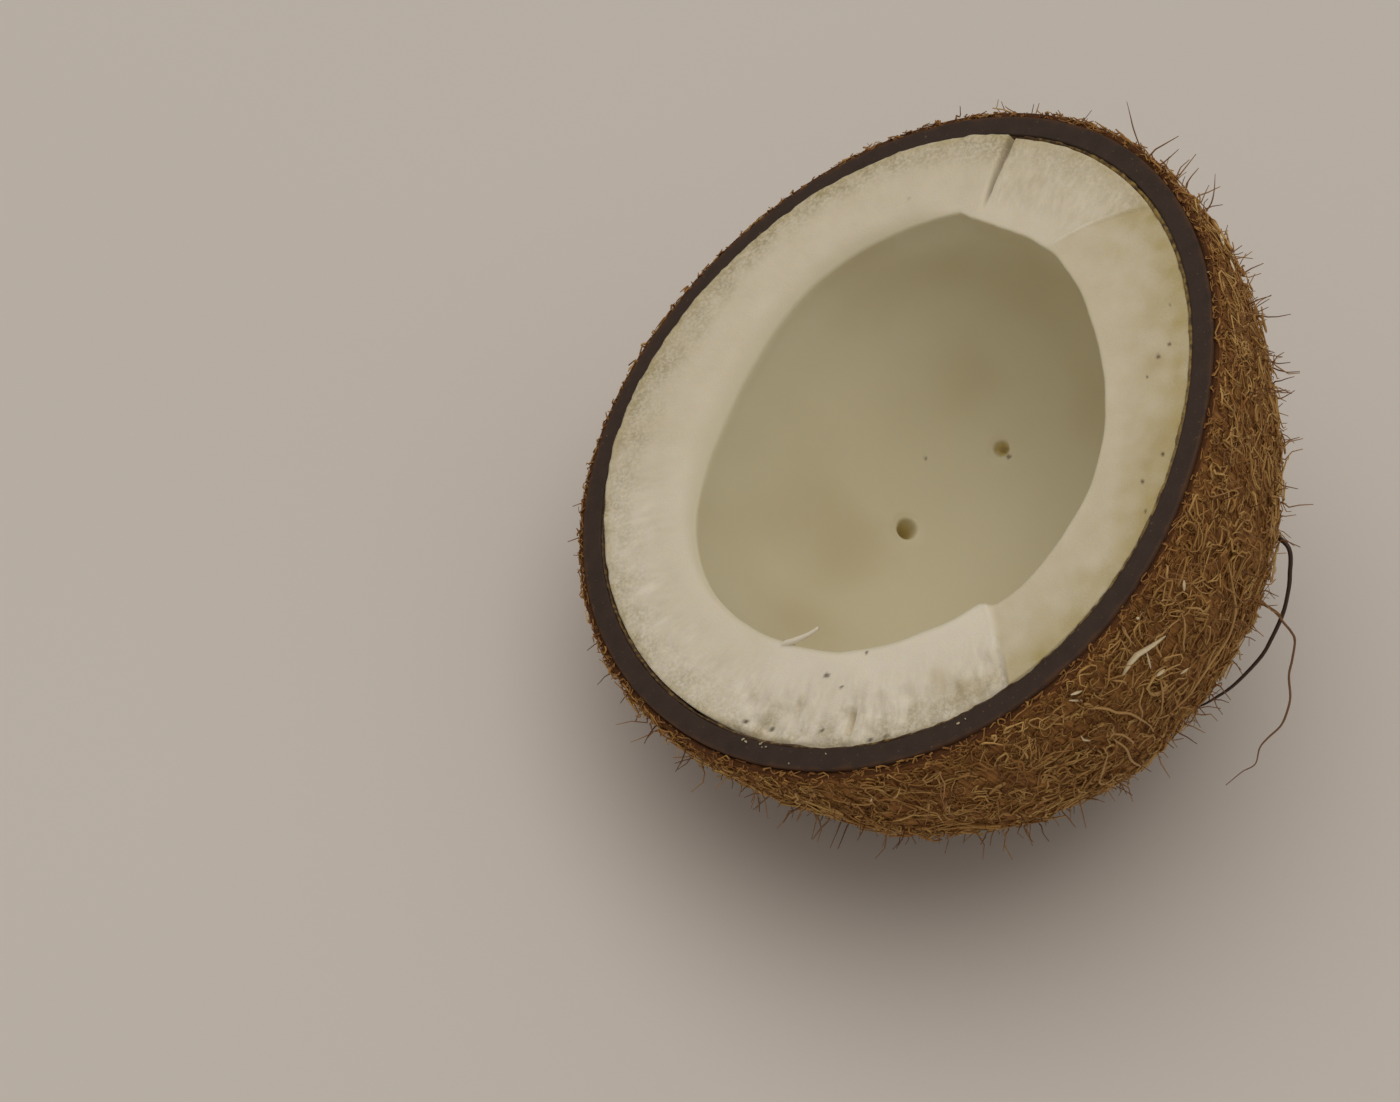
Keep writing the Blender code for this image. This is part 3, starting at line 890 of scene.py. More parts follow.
        # Torn flesh is whiter; the raised crack adds a painted highlight.
        white = self.blended(shares, "white") + 1.6 * ledge * (1 - ledge) + 0.8 * ledge * tufts + 3.0 * ridge_highlight
        marks = {
            # The hollow's grey reaches further up the rolled far edge, partly as painted shade where the edge
            # turns down.
            "hollow": smooth(share, 0.955 - 0.20 * rolled, 1.01 + 0.03 * rolled),
            "white": np.clip(white, 0, 1),
            "crystal": np.clip(
                crystal * (0.75 + 0.6 * roughness(places, 3.0, 2, 51)) - 0.5 * ledge * tufts, 0, 1
            ),
            "streak": np.clip(streak + ledge * 0.35, 0, 1),
            "skin": self.skin_tint(self.blended(shares, "green"), share, places),
            "stain": np.clip(
                self.spotted(places, self.stains, 2) * (0.75 + 0.7 * roughness(places, 3.0, 3, 81)), 0, 1
            ),
            "speck": self.spotted(places, [(*speck, self.speck_tone) for speck in self.specks], 4),
            "pit": 0 * share,
            # Painted shadow along the sunk crack.
            "crack": np.clip(dark, 0, 0.9),
            "grain_way": ring / 1.0 + across / 2.4,
        }
        places[..., 2] = height
        return places, height[-1], marks

    def rolled(self, azimuth: np.ndarray) -> np.ndarray:
        """How much the edge rolls over into the hollow, from 0 where it is sharp to 1 on the far side.

        Args:
            azimuth: degrees round the nut.

        Returns:
            A share for each azimuth.
        """
        start, full, past, end = self.roll_span
        azimuth = np.where(azimuth < 90, azimuth + 360, azimuth)
        return smooth(azimuth, start, full) * (1 - smooth(azimuth, past, end))

    def lip(self, azimuth: np.ndarray) -> np.ndarray:
        """How far the hollow's edge stands out of its smooth outline, millimetres."""
        at, out = np.array(self.hollow_edge).T
        return 0.15 * roughness(around(azimuth, 30), 5.0, 3, 61) + np.interp(azimuth, at, out)

    def swollen(self, azimuth: np.ndarray) -> np.ndarray:
        """How much wider the hollow's mouth is than the bowl below it, millimetres."""
        at, out = np.array(self.hollow_swell).T
        return np.interp(azimuth, at, out)

    def widened(self, places: np.ndarray, out: np.ndarray) -> np.ndarray:
        """Places of the hollow moved outwards from the nut's axis, in millimetres at the hollow's radius."""
        return places * (1 + out[..., None] * [1, 1, 0] / NUT.hollow.radius)

    def gouge(self, azimuth: np.ndarray, share: np.ndarray, width: np.ndarray) -> np.ndarray:
        """Depth of the short split in the torn flesh, millimetres.

        Args:
            azimuth: degrees round the nut.
            share: way across the flesh, 0 at the shell and 1 at the hollow.
            width: the flesh's thickness, millimetres.

        Returns:
            A depth for each place.
        """
        at, across, deep, half_width, half_length = self.split
        sideways = (azimuth - at) * math.pi / 180 * self.split_radius
        lengthways = (share - across) * width
        return deep * np.exp(-(sideways / half_width) ** 4 - (lengthways / half_length) ** 4)

    def skin_tint(self, green: np.ndarray, share: np.ndarray, places: np.ndarray) -> np.ndarray:
        """The yellow-green band next to the skin, with a faint tint further in, where the flesh is green.

        Args:
            green: how green the flesh is.
            share: way across the flesh, 0 at the shell and 1 at the hollow.
            places: where it is, for the tint's unevenness.

        Returns:
            How strong the tint is at each place.
        """
        band = (0.30 + 0.05 * green) * (1 - smooth(share, 0.02, 0.06 + 0.30 * green))
        wide = 0.40 * green * (1 - 0.6 * smooth(share, 0.2, 1.0))
        return np.clip((band + wide) * (0.85 + 0.5 * roughness(places, 2.5, 2, 71)), 0, 1)

    def spotted(self, places: np.ndarray, spots: Sequence[tuple[float, ...]], hardness: int) -> np.ndarray:
        """Spots on the edge.

        Args:
            places: where the edge is.
            spots: azimuth, distance from the nut's axis, size and strength of each.
            hardness: 2 for a soft spot and 4 for one with a clear edge.

        Returns:
            How strong the spots are at each place.
        """
        total = np.zeros(places.shape[:-1])
        for at, out, size, strength in spots:
            away = np.linalg.norm(places[..., :2] - around(at, out)[:2], axis=-1)
            total = np.maximum(total, strength * np.exp(-(away / size) ** hardness))
        return total

    def wall(self, edge_height: np.ndarray) -> tuple[np.ndarray, dict[str, np.ndarray]]:
        """The hollow from just below its edge down to just short of its pole, with its marks.

        Args:
            edge_height: the broken edge's heights at the hollow.

        Returns:
            Places and each mark's values.
        """
        below = np.maximum(0.0, -edge_height) / NUT.hollow.depth
        start = np.degrees(np.arcsin(below ** (NUT.hollow.squareness / 2)))[None, :]
        rows = np.concatenate([
            np.linspace(0.6, 8, 9), np.linspace(11, 41, 11), np.linspace(43.4, 65.5, 45),
            np.linspace(67.5, 89.2, 11),
        ])[:, None]
        azimuth, latitude = np.broadcast_arrays(self.azimuths(), start + (90 - start) * rows / 90)
        places = NUT.hollow.points(azimuth, latitude)
        lip = self.lip(azimuth) * (1 - smooth(latitude, start, start + 9.0))
        places = self.widened(places, lip + self.swollen(azimuth) * (1 - smooth(latitude, start, start + 34.0)))
        places[..., 2] += np.maximum(edge_height, 0.0)[None, :] * (1 - smooth(latitude, 0.0, 5.0))
        normal = NUT.hollow.normals(azimuth, latitude)
        places = places + normal * (0.22 * roughness(places, 13.0, 2, 91) * smooth(latitude, 2, 12))[..., None]
        pit, sunk = np.zeros(azimuth.shape), np.zeros(azimuth.shape)
        (inside, outside), (high, off, spread) = self.funnel, self.burr
        for at, down, wide, deep in self.holes:
            across = np.linalg.norm(places - NUT.hollow.points(np.array(at), np.array(down)), axis=-1)
            funnel = 1 - smooth(across, wide / 2 - inside, wide / 2 + outside)
            pit, sunk = np.maximum(pit, funnel), np.maximum(sunk, funnel * deep)
            burr = np.exp(-((across - wide / 2 - off) / spread) ** 2)
            places = places + normal * (high * burr)[..., None]
        dirt = np.zeros(azimuth.shape)
        for at, down, size in self.debris:
            away = np.linalg.norm(places - NUT.hollow.points(np.array(at), np.array(down)), axis=-1)
            dirt = np.maximum(dirt, self.debris_tone * np.exp(-(away / size) ** 4))
        places = places + normal * sunk[..., None]
        marks = {mark: 0 * pit for mark in ("white", "crystal", "streak", "skin", "crack")} | {
            "hollow": 1 + 0 * pit,
            "stain": np.clip(0.25 * roughness(places, 16.0, 2, 99), 0, 1) * (1 - pit),
            "speck": dirt,
            # Painted light: the holes' funnels take the pale pit colour against the shade in them.
            "pit": smooth(pit, 0.05, 0.6),
            "grain_way": places * 0,
        }
        return places, marks

    def build(self, material: bpy.types.Material) -> bpy.types.Object:
        """Build the kernel as one closed piece that stands for the flesh solid.

        Args:
            material: its finish.

        Returns:
            The object.
        """
        grow = -NUT.shell_wall - NUT.seat_gap - self.back_gap
        back = NUT.shell.points(self.azimuths(), np.linspace(88, 5, self.back_rows)[:, None], grow)
        edge, edge_height, edge_marks = self.edge()
        wall, wall_marks = self.wall(edge_height)
        marks = {}
        for mark, values in edge_marks.items():
            blank = np.zeros((self.back_rows, *values.shape[1:]))
            marks[mark] = np.concatenate([blank, values, wall_marks[mark]])
        marks["skin"][:self.back_rows] = 1.0
        poles = [
            NUT.placed(NUT.shell.points(np.array(0.0), np.array(90.0), grow)),
            NUT.placed(NUT.hollow.points(np.array(0.0), np.array(90.0))),
        ]
        mesh = bowl_mesh("flesh_broken", NUT.placed(np.concatenate([back, edge, wall])), poles, marks)
        obj = piece("flesh_broken", mesh, material)
        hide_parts("flesh")
        return obj


@dataclass
class Skin:
    """The flesh's brown skin, which shows as an uneven line between the flesh and the shell."""

    segments: int = 960
    depth: float = 5.0
    rows: int = 7
    thickness: float = 0.58
    right_side: tuple[float, float, float, float] = (80.0, 110.0, 178.0, 205.0)
    thicker_right: float = 0.22
    gilt: float = 0.12
    gilt_right: float = 0.16
    bead: float = 0.28
    sunk: float = -0.30

    def build(self, material: bpy.types.Material) -> bpy.types.Object:
        """Build the skin as a closed ring with a ragged top.

        Args:
            material: its finish.

        Returns:
            The object.
        """
        azimuth = np.linspace(0, 360, self.segments, endpoint=False)[None, :]
        ring = around(azimuth, 50)
        start, full, past, end = self.right_side
        right = smooth(azimuth, start, full) * (1 - smooth(azimuth, past, end))
        seat = -NUT.shell_wall - 0.04
        outer_grow = seat + 0.08 * roughness(ring, 2.0, 2, 3)
        inner_grow = seat - self.thickness - self.thicker_right * right + 0.26 * roughness(ring, 3.2, 3, 13)
        share = np.linspace(0, 1, self.rows)[:, None]
        grow = outer_grow + (inner_grow - outer_grow) * share
        top = NUT.shell.points(azimuth, 0 * grow, grow)
        bead = np.sin(np.pi * share) * (self.bead + 0.3 * roughness(ring, 1.5, 3, 23))
        top[..., 2] = self.sunk + bead + 0.22 * roughness(top, 1.0, 2, 33) - 0.35 * share
        foot = np.degrees(np.arcsin((self.depth / NUT.shell.depth) ** (NUT.shell.squareness / 2)))
        outer = NUT.shell.points(azimuth, foot + 0 * azimuth, -NUT.shell_wall - 0.10)
        inner = NUT.shell.points(azimuth, foot + 0 * azimuth, -NUT.shell_wall - NUT.seat_gap - 0.02)
        loops = NUT.placed(np.concatenate([outer, top, inner])) * MM
        rows, count = loops.shape[:2]
        gilt = np.broadcast_to(self.gilt_right * right + self.gilt, (rows, count)).ravel()
        faces = sheet_faces(rows, count, True, True)
        mesh = new_mesh("flesh_skin", loops.reshape(-1, 3), faces, {"gilt": gilt})
        return piece("flesh_skin", mesh, material)


class GeometryTree:
    """A geometry node tree with named inputs, which turns a guide mesh into a finished one."""

    def __init__(self, name: str, inputs: dict[str, tuple[str, Any]]) -> None:
        """Start the tree.

        Args:
            name: the tree's name.
            inputs: input name to its socket type and its value.
        """
        self.tree = bpy.data.node_groups.new(name, "GeometryNodeTree")
        self.tree.interface.new_socket("Guide", in_out="INPUT", socket_type="NodeSocketGeometry")
        self.identifiers = {}
        for label, (kind, value) in inputs.items():
            socket = self.tree.interface.new_socket(label, in_out="INPUT", socket_type=kind)
            self.identifiers[label] = (socket.identifier, value)
        self.tree.interface.new_socket("Result", in_out="OUTPUT", socket_type="NodeSocketGeometry")
        self.source = self.tree.nodes.new("NodeGroupInput").outputs

    def finish(self, geometry: bpy.types.NodeSocket) -> None:
        """End the tree in Realize Instances and Set Material.

        Args:
            geometry: what the tree has made.
        """
        real = add(self.tree, REALIZE, {0: geometry})
        dressed = add(self.tree, "GeometryNodeSetMaterial", {0: real, 2: self.source["Material"]})
        add(self.tree, "NodeGroupOutput", {0: dressed})

    def grow(self, name: str, guide: bpy.types.Mesh, values: dict[str, Any]) -> bpy.types.Mesh:
        """Run the tree on a guide mesh and give back the plain mesh.

        Args:
            name: the new mesh's name.
            guide: the mesh that the tree starts from.
            values: inputs that differ from the tree's own.

        Returns:
            The finished mesh.
        """
        holder = bpy.data.objects.new(f"{name}_guide", guide)
        bpy.context.scene.collection.objects.link(holder)
        modifier = holder.modifiers.new("grow", "NODES")
        modifier.node_group = self.tree
        for label, (identifier, value) in self.identifiers.items():
            modifier[identifier] = values.get(label, value)
        bpy.context.view_layer.update()
        evaluated = holder.evaluated_get(bpy.context.evaluated_depsgraph_get())
        mesh = bpy.data.meshes.new_from_object(evaluated)
        mesh.name = name
        bpy.data.objects.remove(holder, do_unlink=True)
        return mesh


@dataclass
class Shell:
    """The hard shell, a bowl whose every row follows one rule, grown from a flat grid."""

    segments: int = 720
    rows: int = 45
    rim_rows: int = 13
    rim_share: float = 0.30
    chip: float = 0.35
    chip_scale: float = 0.45
    swell: float = 0.6
    swell_scale: float = 0.16
    rim_zone: float = 1.2
    seam: float = 0.01

    def tree(self) -> GeometryTree:
        """The tree: the grid's x is the way round the nut and its y runs over the rim.

        Returns:
            The tree.
        """
        dome = NUT.shell
        made = GeometryTree("shell_bowl", {
            "Radius": ("NodeSocketFloat", dome.radius),
            "Depth": ("NodeSocketFloat", dome.depth),
            "Wall": ("NodeSocketFloat", NUT.shell_wall),
            "Rim Share": ("NodeSocketFloat", self.rim_share),
            "Chip": ("NodeSocketFloat", self.chip),
            "Material": ("NodeSocketMaterial", None),
        })
        tree, source = made.tree, made.source
        grid = add(tree, "ShaderNodeSeparateXYZ", {0: add(tree, "GeometryNodeInputPosition")}).outputs
        way, turn = grid[1], add(tree, MATH, {0: grid[0], 1: math.tau}, operation="MULTIPLY")
        size = add(tree, MATH, {0: way}, operation="ABSOLUTE")
        past = add(tree, MAP_RANGE, {0: size, 1: source["Rim Share"], 2: 1.0, 3: 0.0, 4: math.pi / 2})
        minus = add(tree, MATH, {0: source["Rim Share"], 1: -1.0}, operation="MULTIPLY")
        inward = add(tree, MAP_RANGE, {0: way, 1: minus, 2: source["Rim Share"], 3: 0.0, 4: 1.0})
        loss = add(tree, MATH, {0: inward, 1: source["Wall"]}, operation="MULTIPLY")
        ring, depth = (
            add(tree, MATH, {0: source[label], 1: loss}, operation="SUBTRACT")
            for label in ("Radius", "Depth")
        )
        lobes: Any = 1.0
        for order, cosine_share, sine_share in ((2, *dome.outline[:2]), (3, *dome.outline[2:])):
            strength, lead = math.hypot(cosine_share, sine_share), math.atan2(sine_share, cosine_share)
            angle = add(tree, MATH, {0: turn, 1: float(order), 2: -lead}, operation="MULTIPLY_ADD")
            wave = add(tree, MATH, {0: angle}, operation="COSINE")
            lobes = add(tree, MATH, {0: wave, 1: strength, 2: lobes}, operation="MULTIPLY_ADD")
        sine = add(tree, MATH, {0: past}, operation="SINE")
        cosine = add(tree, MATH, {0: past}, operation="COSINE")
        cosine = add(tree, MATH, {0: cosine, 1: 0.0}, operation="MAXIMUM")
        narrowed, z = (
            add(tree, MATH, {0: part, 1: 2 / dome.squareness}, operation="POWER") for part in (cosine, sine)
        )
        for factor in (lobes, narrowed):
            ring = add(tree, MATH, {0: ring, 1: factor}, operation="MULTIPLY")
        for factor in (depth, -1.0):
            z = add(tree, MATH, {0: z, 1: factor}, operation="MULTIPLY")
        round_nut = [add(tree, MATH, {0: turn}, operation=wave) for wave in ("COSINE", "SINE")]
        flat = [add(tree, MATH, {0: ring, 1: wave}, operation="MULTIPLY") for wave in round_nut]
        x, y = (
            add(tree, MATH, {0: sine, 1: shift, 2: part}, operation="MULTIPLY_ADD")
            for shift, part in zip(dome.pole_shift, flat)
        )
        place = add(tree, "ShaderNodeCombineXYZ", {0: x, 1: y, 2: z})
        outward = add(tree, MATH, {0: 1.0, 1: inward}, operation="SUBTRACT")
        marked = add(
            tree, STORE,
            {0: source["Guide"], "Name": "across", "Value": outward}, data_type="FLOAT", domain="POINT",
        )
        bowl = add(tree, SET_POSITION, {0: marked, 2: place})
        chips = {"Vector": place, "Scale": self.chip_scale, "Detail": 4.0, "Roughness": 0.6}
        bite = add(tree, NOISE, chips)
        level = add(tree, MATH, {0: z, 1: self.rim_zone}, operation="ADD")
        near_rim = add(tree, MATH, {0: level, 1: 0.0}, operation="MAXIMUM")
        edge = add(tree, MATH, {0: outward, 1: 6.0}, operation="POWER")
        for factor in (source["Chip"], near_rim, edge, -1.0):
            bite = add(tree, MATH, {0: bite, 1: factor}, operation="MULTIPLY")
        swell = add(tree, NOISE, {"Vector": place, "Scale": self.swell_scale, "Detail": 2.0})
        swell = add(tree, MAP_RANGE, {0: swell, 1: 0.3, 2: 0.7, 3: -self.swell, 4: self.swell})
        for factor in (outward, near_rim):
            swell = add(tree, MATH, {0: swell, 1: factor}, operation="MULTIPLY")
        aside = [add(tree, MATH, {0: swell, 1: wave}, operation="MULTIPLY") for wave in round_nut]
        drop = add(tree, "ShaderNodeCombineXYZ", {0: aside[0], 1: aside[1], 2: bite})
        chipped = add(tree, SET_POSITION, {0: bowl, 3: drop})
        closed = add(tree, "GeometryNodeMergeByDistance", {0: chipped, 2: self.seam})
        made.finish(add(tree, "GeometryNodeSetShadeSmooth", {0: closed}))
        return made

    def guide(self) -> bpy.types.Mesh:
        """The flat grid, from 0 to 1 round the nut and from -1 to 1 over the rim.

        Returns:
            The grid.
        """
        rim = np.linspace(-self.rim_share, self.rim_share, self.rim_rows)
        steps = np.linspace(0, 1, (self.rows - self.rim_rows) // 2 + 1)[1:]
        foot = self.rim_share + (1 - self.rim_share) * steps ** 1.8
        x, y = np.meshgrid(np.linspace(0, 1, self.segments + 1), np.concatenate([-foot[::-1], rim, foot]))
        vertices = np.stack([x, y, 0 * x], -1).reshape(-1, 3)
        return new_mesh("shell_grid", vertices, sheet_faces(*x.shape, False, False), flat=True)

    def build(self, material: bpy.types.Material) -> bpy.types.Object:
        """Build the shell as one closed piece that stands for the shell solid.

        Args:
            material: its finish.

        Returns:
            The object.
        """
        mesh = self.tree().grow("shell_sawn", self.guide(), {"Material": material})
        mesh.transform(Matrix.Scale(MM, 4) @ NUT.pose())
        obj = piece("shell_sawn", mesh, None)
        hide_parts("shell")
        return obj


@dataclass
class CoirMat:
    """The felted base of the coat, under its loose fibres."""

    segments: int = 360
    rows: int = 90
    lining_rows: int = 5
    lining_gap: float = 0.12
    sink: float = 0.35
    # Number round the nut, height and slant of each set of ridges.
    ridges: tuple[tuple[int, float, float], ...] = ((17, 0.26, 1.7), (29, 0.18, -2.3), (7, 0.20, 0.9))
    # Azimuth, latitude, size and depth of each place where the coat is thin.
    hollows: tuple[tuple[float, float, float, float], ...] = (
        (96.0, 43.0, 18.0, 2.1), (146.0, 22.0, 20.0, 1.6),
    )
    thinnest: float = 1.65
    full_step: float = 2.0
    lumps: float = 0.45
    felt: float = 0.28
    fuzz: float = 0.12
    grain_radius: float = 56.0

    def surface(self, azimuth: np.ndarray, latitude: np.ndarray, sink: float, detail: bool) -> np.ndarray:
        """Places on the coat's outside in the resting frame, millimetres.

        Args:
            azimuth: degrees round the nut.
            latitude: degrees from the cut.
            sink: how far below the coat's full height.
            detail: whether the fine felt is there too.

        Returns:
            The places.
        """
        azimuth, latitude = np.broadcast_arrays(azimuth, latitude)
        places = NUT.coir.points(azimuth, latitude)
        normal = NUT.coir.normals(azimuth, latitude)
        swell = smooth(latitude, 0.0, NUT.coir_swell_end)
        fade = swell * np.maximum(np.cos(np.radians(latitude)), 0.0) ** 0.5
        a = np.radians(azimuth)
        relief = sum(h * np.cos(n * a + lead * np.radians(3 * latitude)) for n, h, lead in self.ridges)
        relief = relief + self.lumps * roughness(places, 9.0, 2, 7)
        if detail:
            ring = around(azimuth, self.grain_radius, np.radians(latitude) * 8)
            relief = relief + self.felt * roughness(ring, 1.6, 2, 17)
            relief = relief + self.fuzz * roughness(places, 0.9, 2, 27)
        relief = relief * fade
        for at, down, size, depth in self.hollows:
            away = np.linalg.norm(places - NUT.coir.points(np.array(at), np.array(down)), axis=-1)
            relief = relief - depth * np.exp(-(away / size) ** 2) * swell
        thinner = (self.full_step - NUT.coir_at_rim) * (1 - swell)
        flat = normal * [1, 1, 0]
        offset = np.maximum(relief, -self.thinnest + self.sink) - sink * swell
        places = places + normal * offset[..., None] - flat * thinner[..., None]
        places[..., 2] -= NUT.coir_below_cut * (1 - swell)
        return NUT.pressed(NUT.placed(places))

    def build(self, material: bpy.types.Material) -> bpy.types.Object:
        """Build the coat's base as one closed piece that stands for the husk solid.

        Args:
            material: its finish.

        Returns:
            The object.
        """
        azimuth = np.linspace(0, 360, self.segments, endpoint=False)[None, :]
        latitude = 90 * (1 - np.linspace(0.012, 1, self.rows) ** 0.9)[:, None]
        outside = self.surface(azimuth, latitude, self.sink, True)
        lining = NUT.shell.points(azimuth, np.linspace(0, 84, self.lining_rows)[:, None], self.lining_gap)
        lining[..., 2] = np.minimum(lining[..., 2], -NUT.coir_below_cut)
        rings = np.concatenate([outside, NUT.placed(lining)])
        way = around(azimuth, self.grain_radius, np.radians(latitude) * self.grain_radius / 7)
        rim = 1 - smooth(latitude + 0.6 * roughness(way, 5.0, 2, 37), 0.1, 1.2)
        lining_shape = (self.lining_rows, self.segments)
        marks = {
            "grain_way": np.concatenate([way, np.zeros((*lining_shape, 3))]),
            "rim": np.concatenate([rim, np.ones(lining_shape)]),
        }
        pole = self.surface(np.array([0.0]), np.array([90.0]), self.sink, False)[0]
        inner_pole = NUT.placed(NUT.shell.points(np.array(0.0), np.array(90.0), self.lining_gap))
        mesh = bowl_mesh("coir_mat", rings, [pole, inner_pole], marks)
        obj = piece("coir_mat", mesh, material)
        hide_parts("husk")
        return obj


class FibreKind(Enum):
    """The kinds of loose fibre on the coat."""

    FELT = "felt"
    CURLS = "curls"
    HAIRS = "hairs"
    LONG = "long"
    RIM = "rim"


@dataclass(frozen=True)
class FibreStyle:
    """How one kind of fibre grows; lengths in millimetres, angles in degrees.

    Sweep and kink are how far a fibre bends, in large and in small curves, and each size is how long such a
    curve is. Spread is how far it turns from the way down the dome. Lift, loop and rise are how far it stands
    off the coat: all along, in its loops, and at its tip.
    """

    kind: FibreKind
    copies: int
    per_square_cm: float
    clear_of_cut: float
    shortest: float
    longest: float
    thickness: float
    sweep: float
    sweep_size: float
    kink: float
    kink_size: float
    spread: float
    lift: float
    loop: float
    rise: float
    steps: int
    finish: FibreFinish
    deepest: float = 200.0

    def inputs(self) -> dict[str, Any]:
        """The tree's inputs for this kind, in metres and radians.

        Returns:
            Input name to value.
        """
        lengths = {label: getattr(self, label.lower().replace(" ", "_")) * MM for label in FIBRE_LENGTHS}
        return lengths | {
            "Per Square Metre": self.per_square_cm * 1.0e4,
            "Spread": math.radians(self.spread),
            "Steps": self.steps,
        }


FIBRE_LENGTHS = (
    "Clear of Cut", "Deepest", "Shortest", "Longest", "Thickness", "Sweep", "Sweep Size", "Kink", "Kink Size",
    "Lift", "Loop", "Rise",
)
STYLES = (
    FibreStyle(
        FibreKind.FELT, 2, 21.0, 0.25, 3.5, 8.5, 0.32, 1.4, 4.0, 0.5, 1.8, 75.0, 0.06, 0.32, 0.4, 6,
        FibreFinish("coir_felt_rusty", "#8B5C2F", "#BF9350"),
    ),
    FibreStyle(
        FibreKind.CURLS, 2, 8.0, 1.2, 5.0, 13.0, 0.34, 2.9, 4.0, 0.65, 2.2, 80.0, 0.22, 0.80, 1.2, 13,
        FibreFinish("coir_curls_straw", "#A06E37", "#D8B06C"),
    ),
    FibreStyle(
        FibreKind.HAIRS, 1, 12.5, 0.6, 2.0, 5.5, 0.22, 1.6, 3.0, 0.6, 1.5, 120.0, 0.15, 0.9, 5.0, 6,
        FibreFinish("coir_hairs_dark", "#6B4326", "#B98D57"),
    ),
    FibreStyle(
        FibreKind.LONG, 1, 0.6, 5.0, 14.0, 32.0, 0.46, 5.0, 10.0, 0.9, 3.8, 70.0, 0.60, 0.8, 1.2, 30,
        FibreFinish("coir_long_golden", "#AA7A3B", "#D9B272"),
    ),
    FibreStyle(
        FibreKind.RIM, 1, 85.0, 0.0, 1.4, 4.2, 0.30, 1.3, 2.5, 0.5, 1.4, 110.0, 0.10, 0.5, 0.9, 6,
        FibreFinish("coir_rim_rusty", "#85562C", "#BD8D4C"), 3.2,
    ),
)


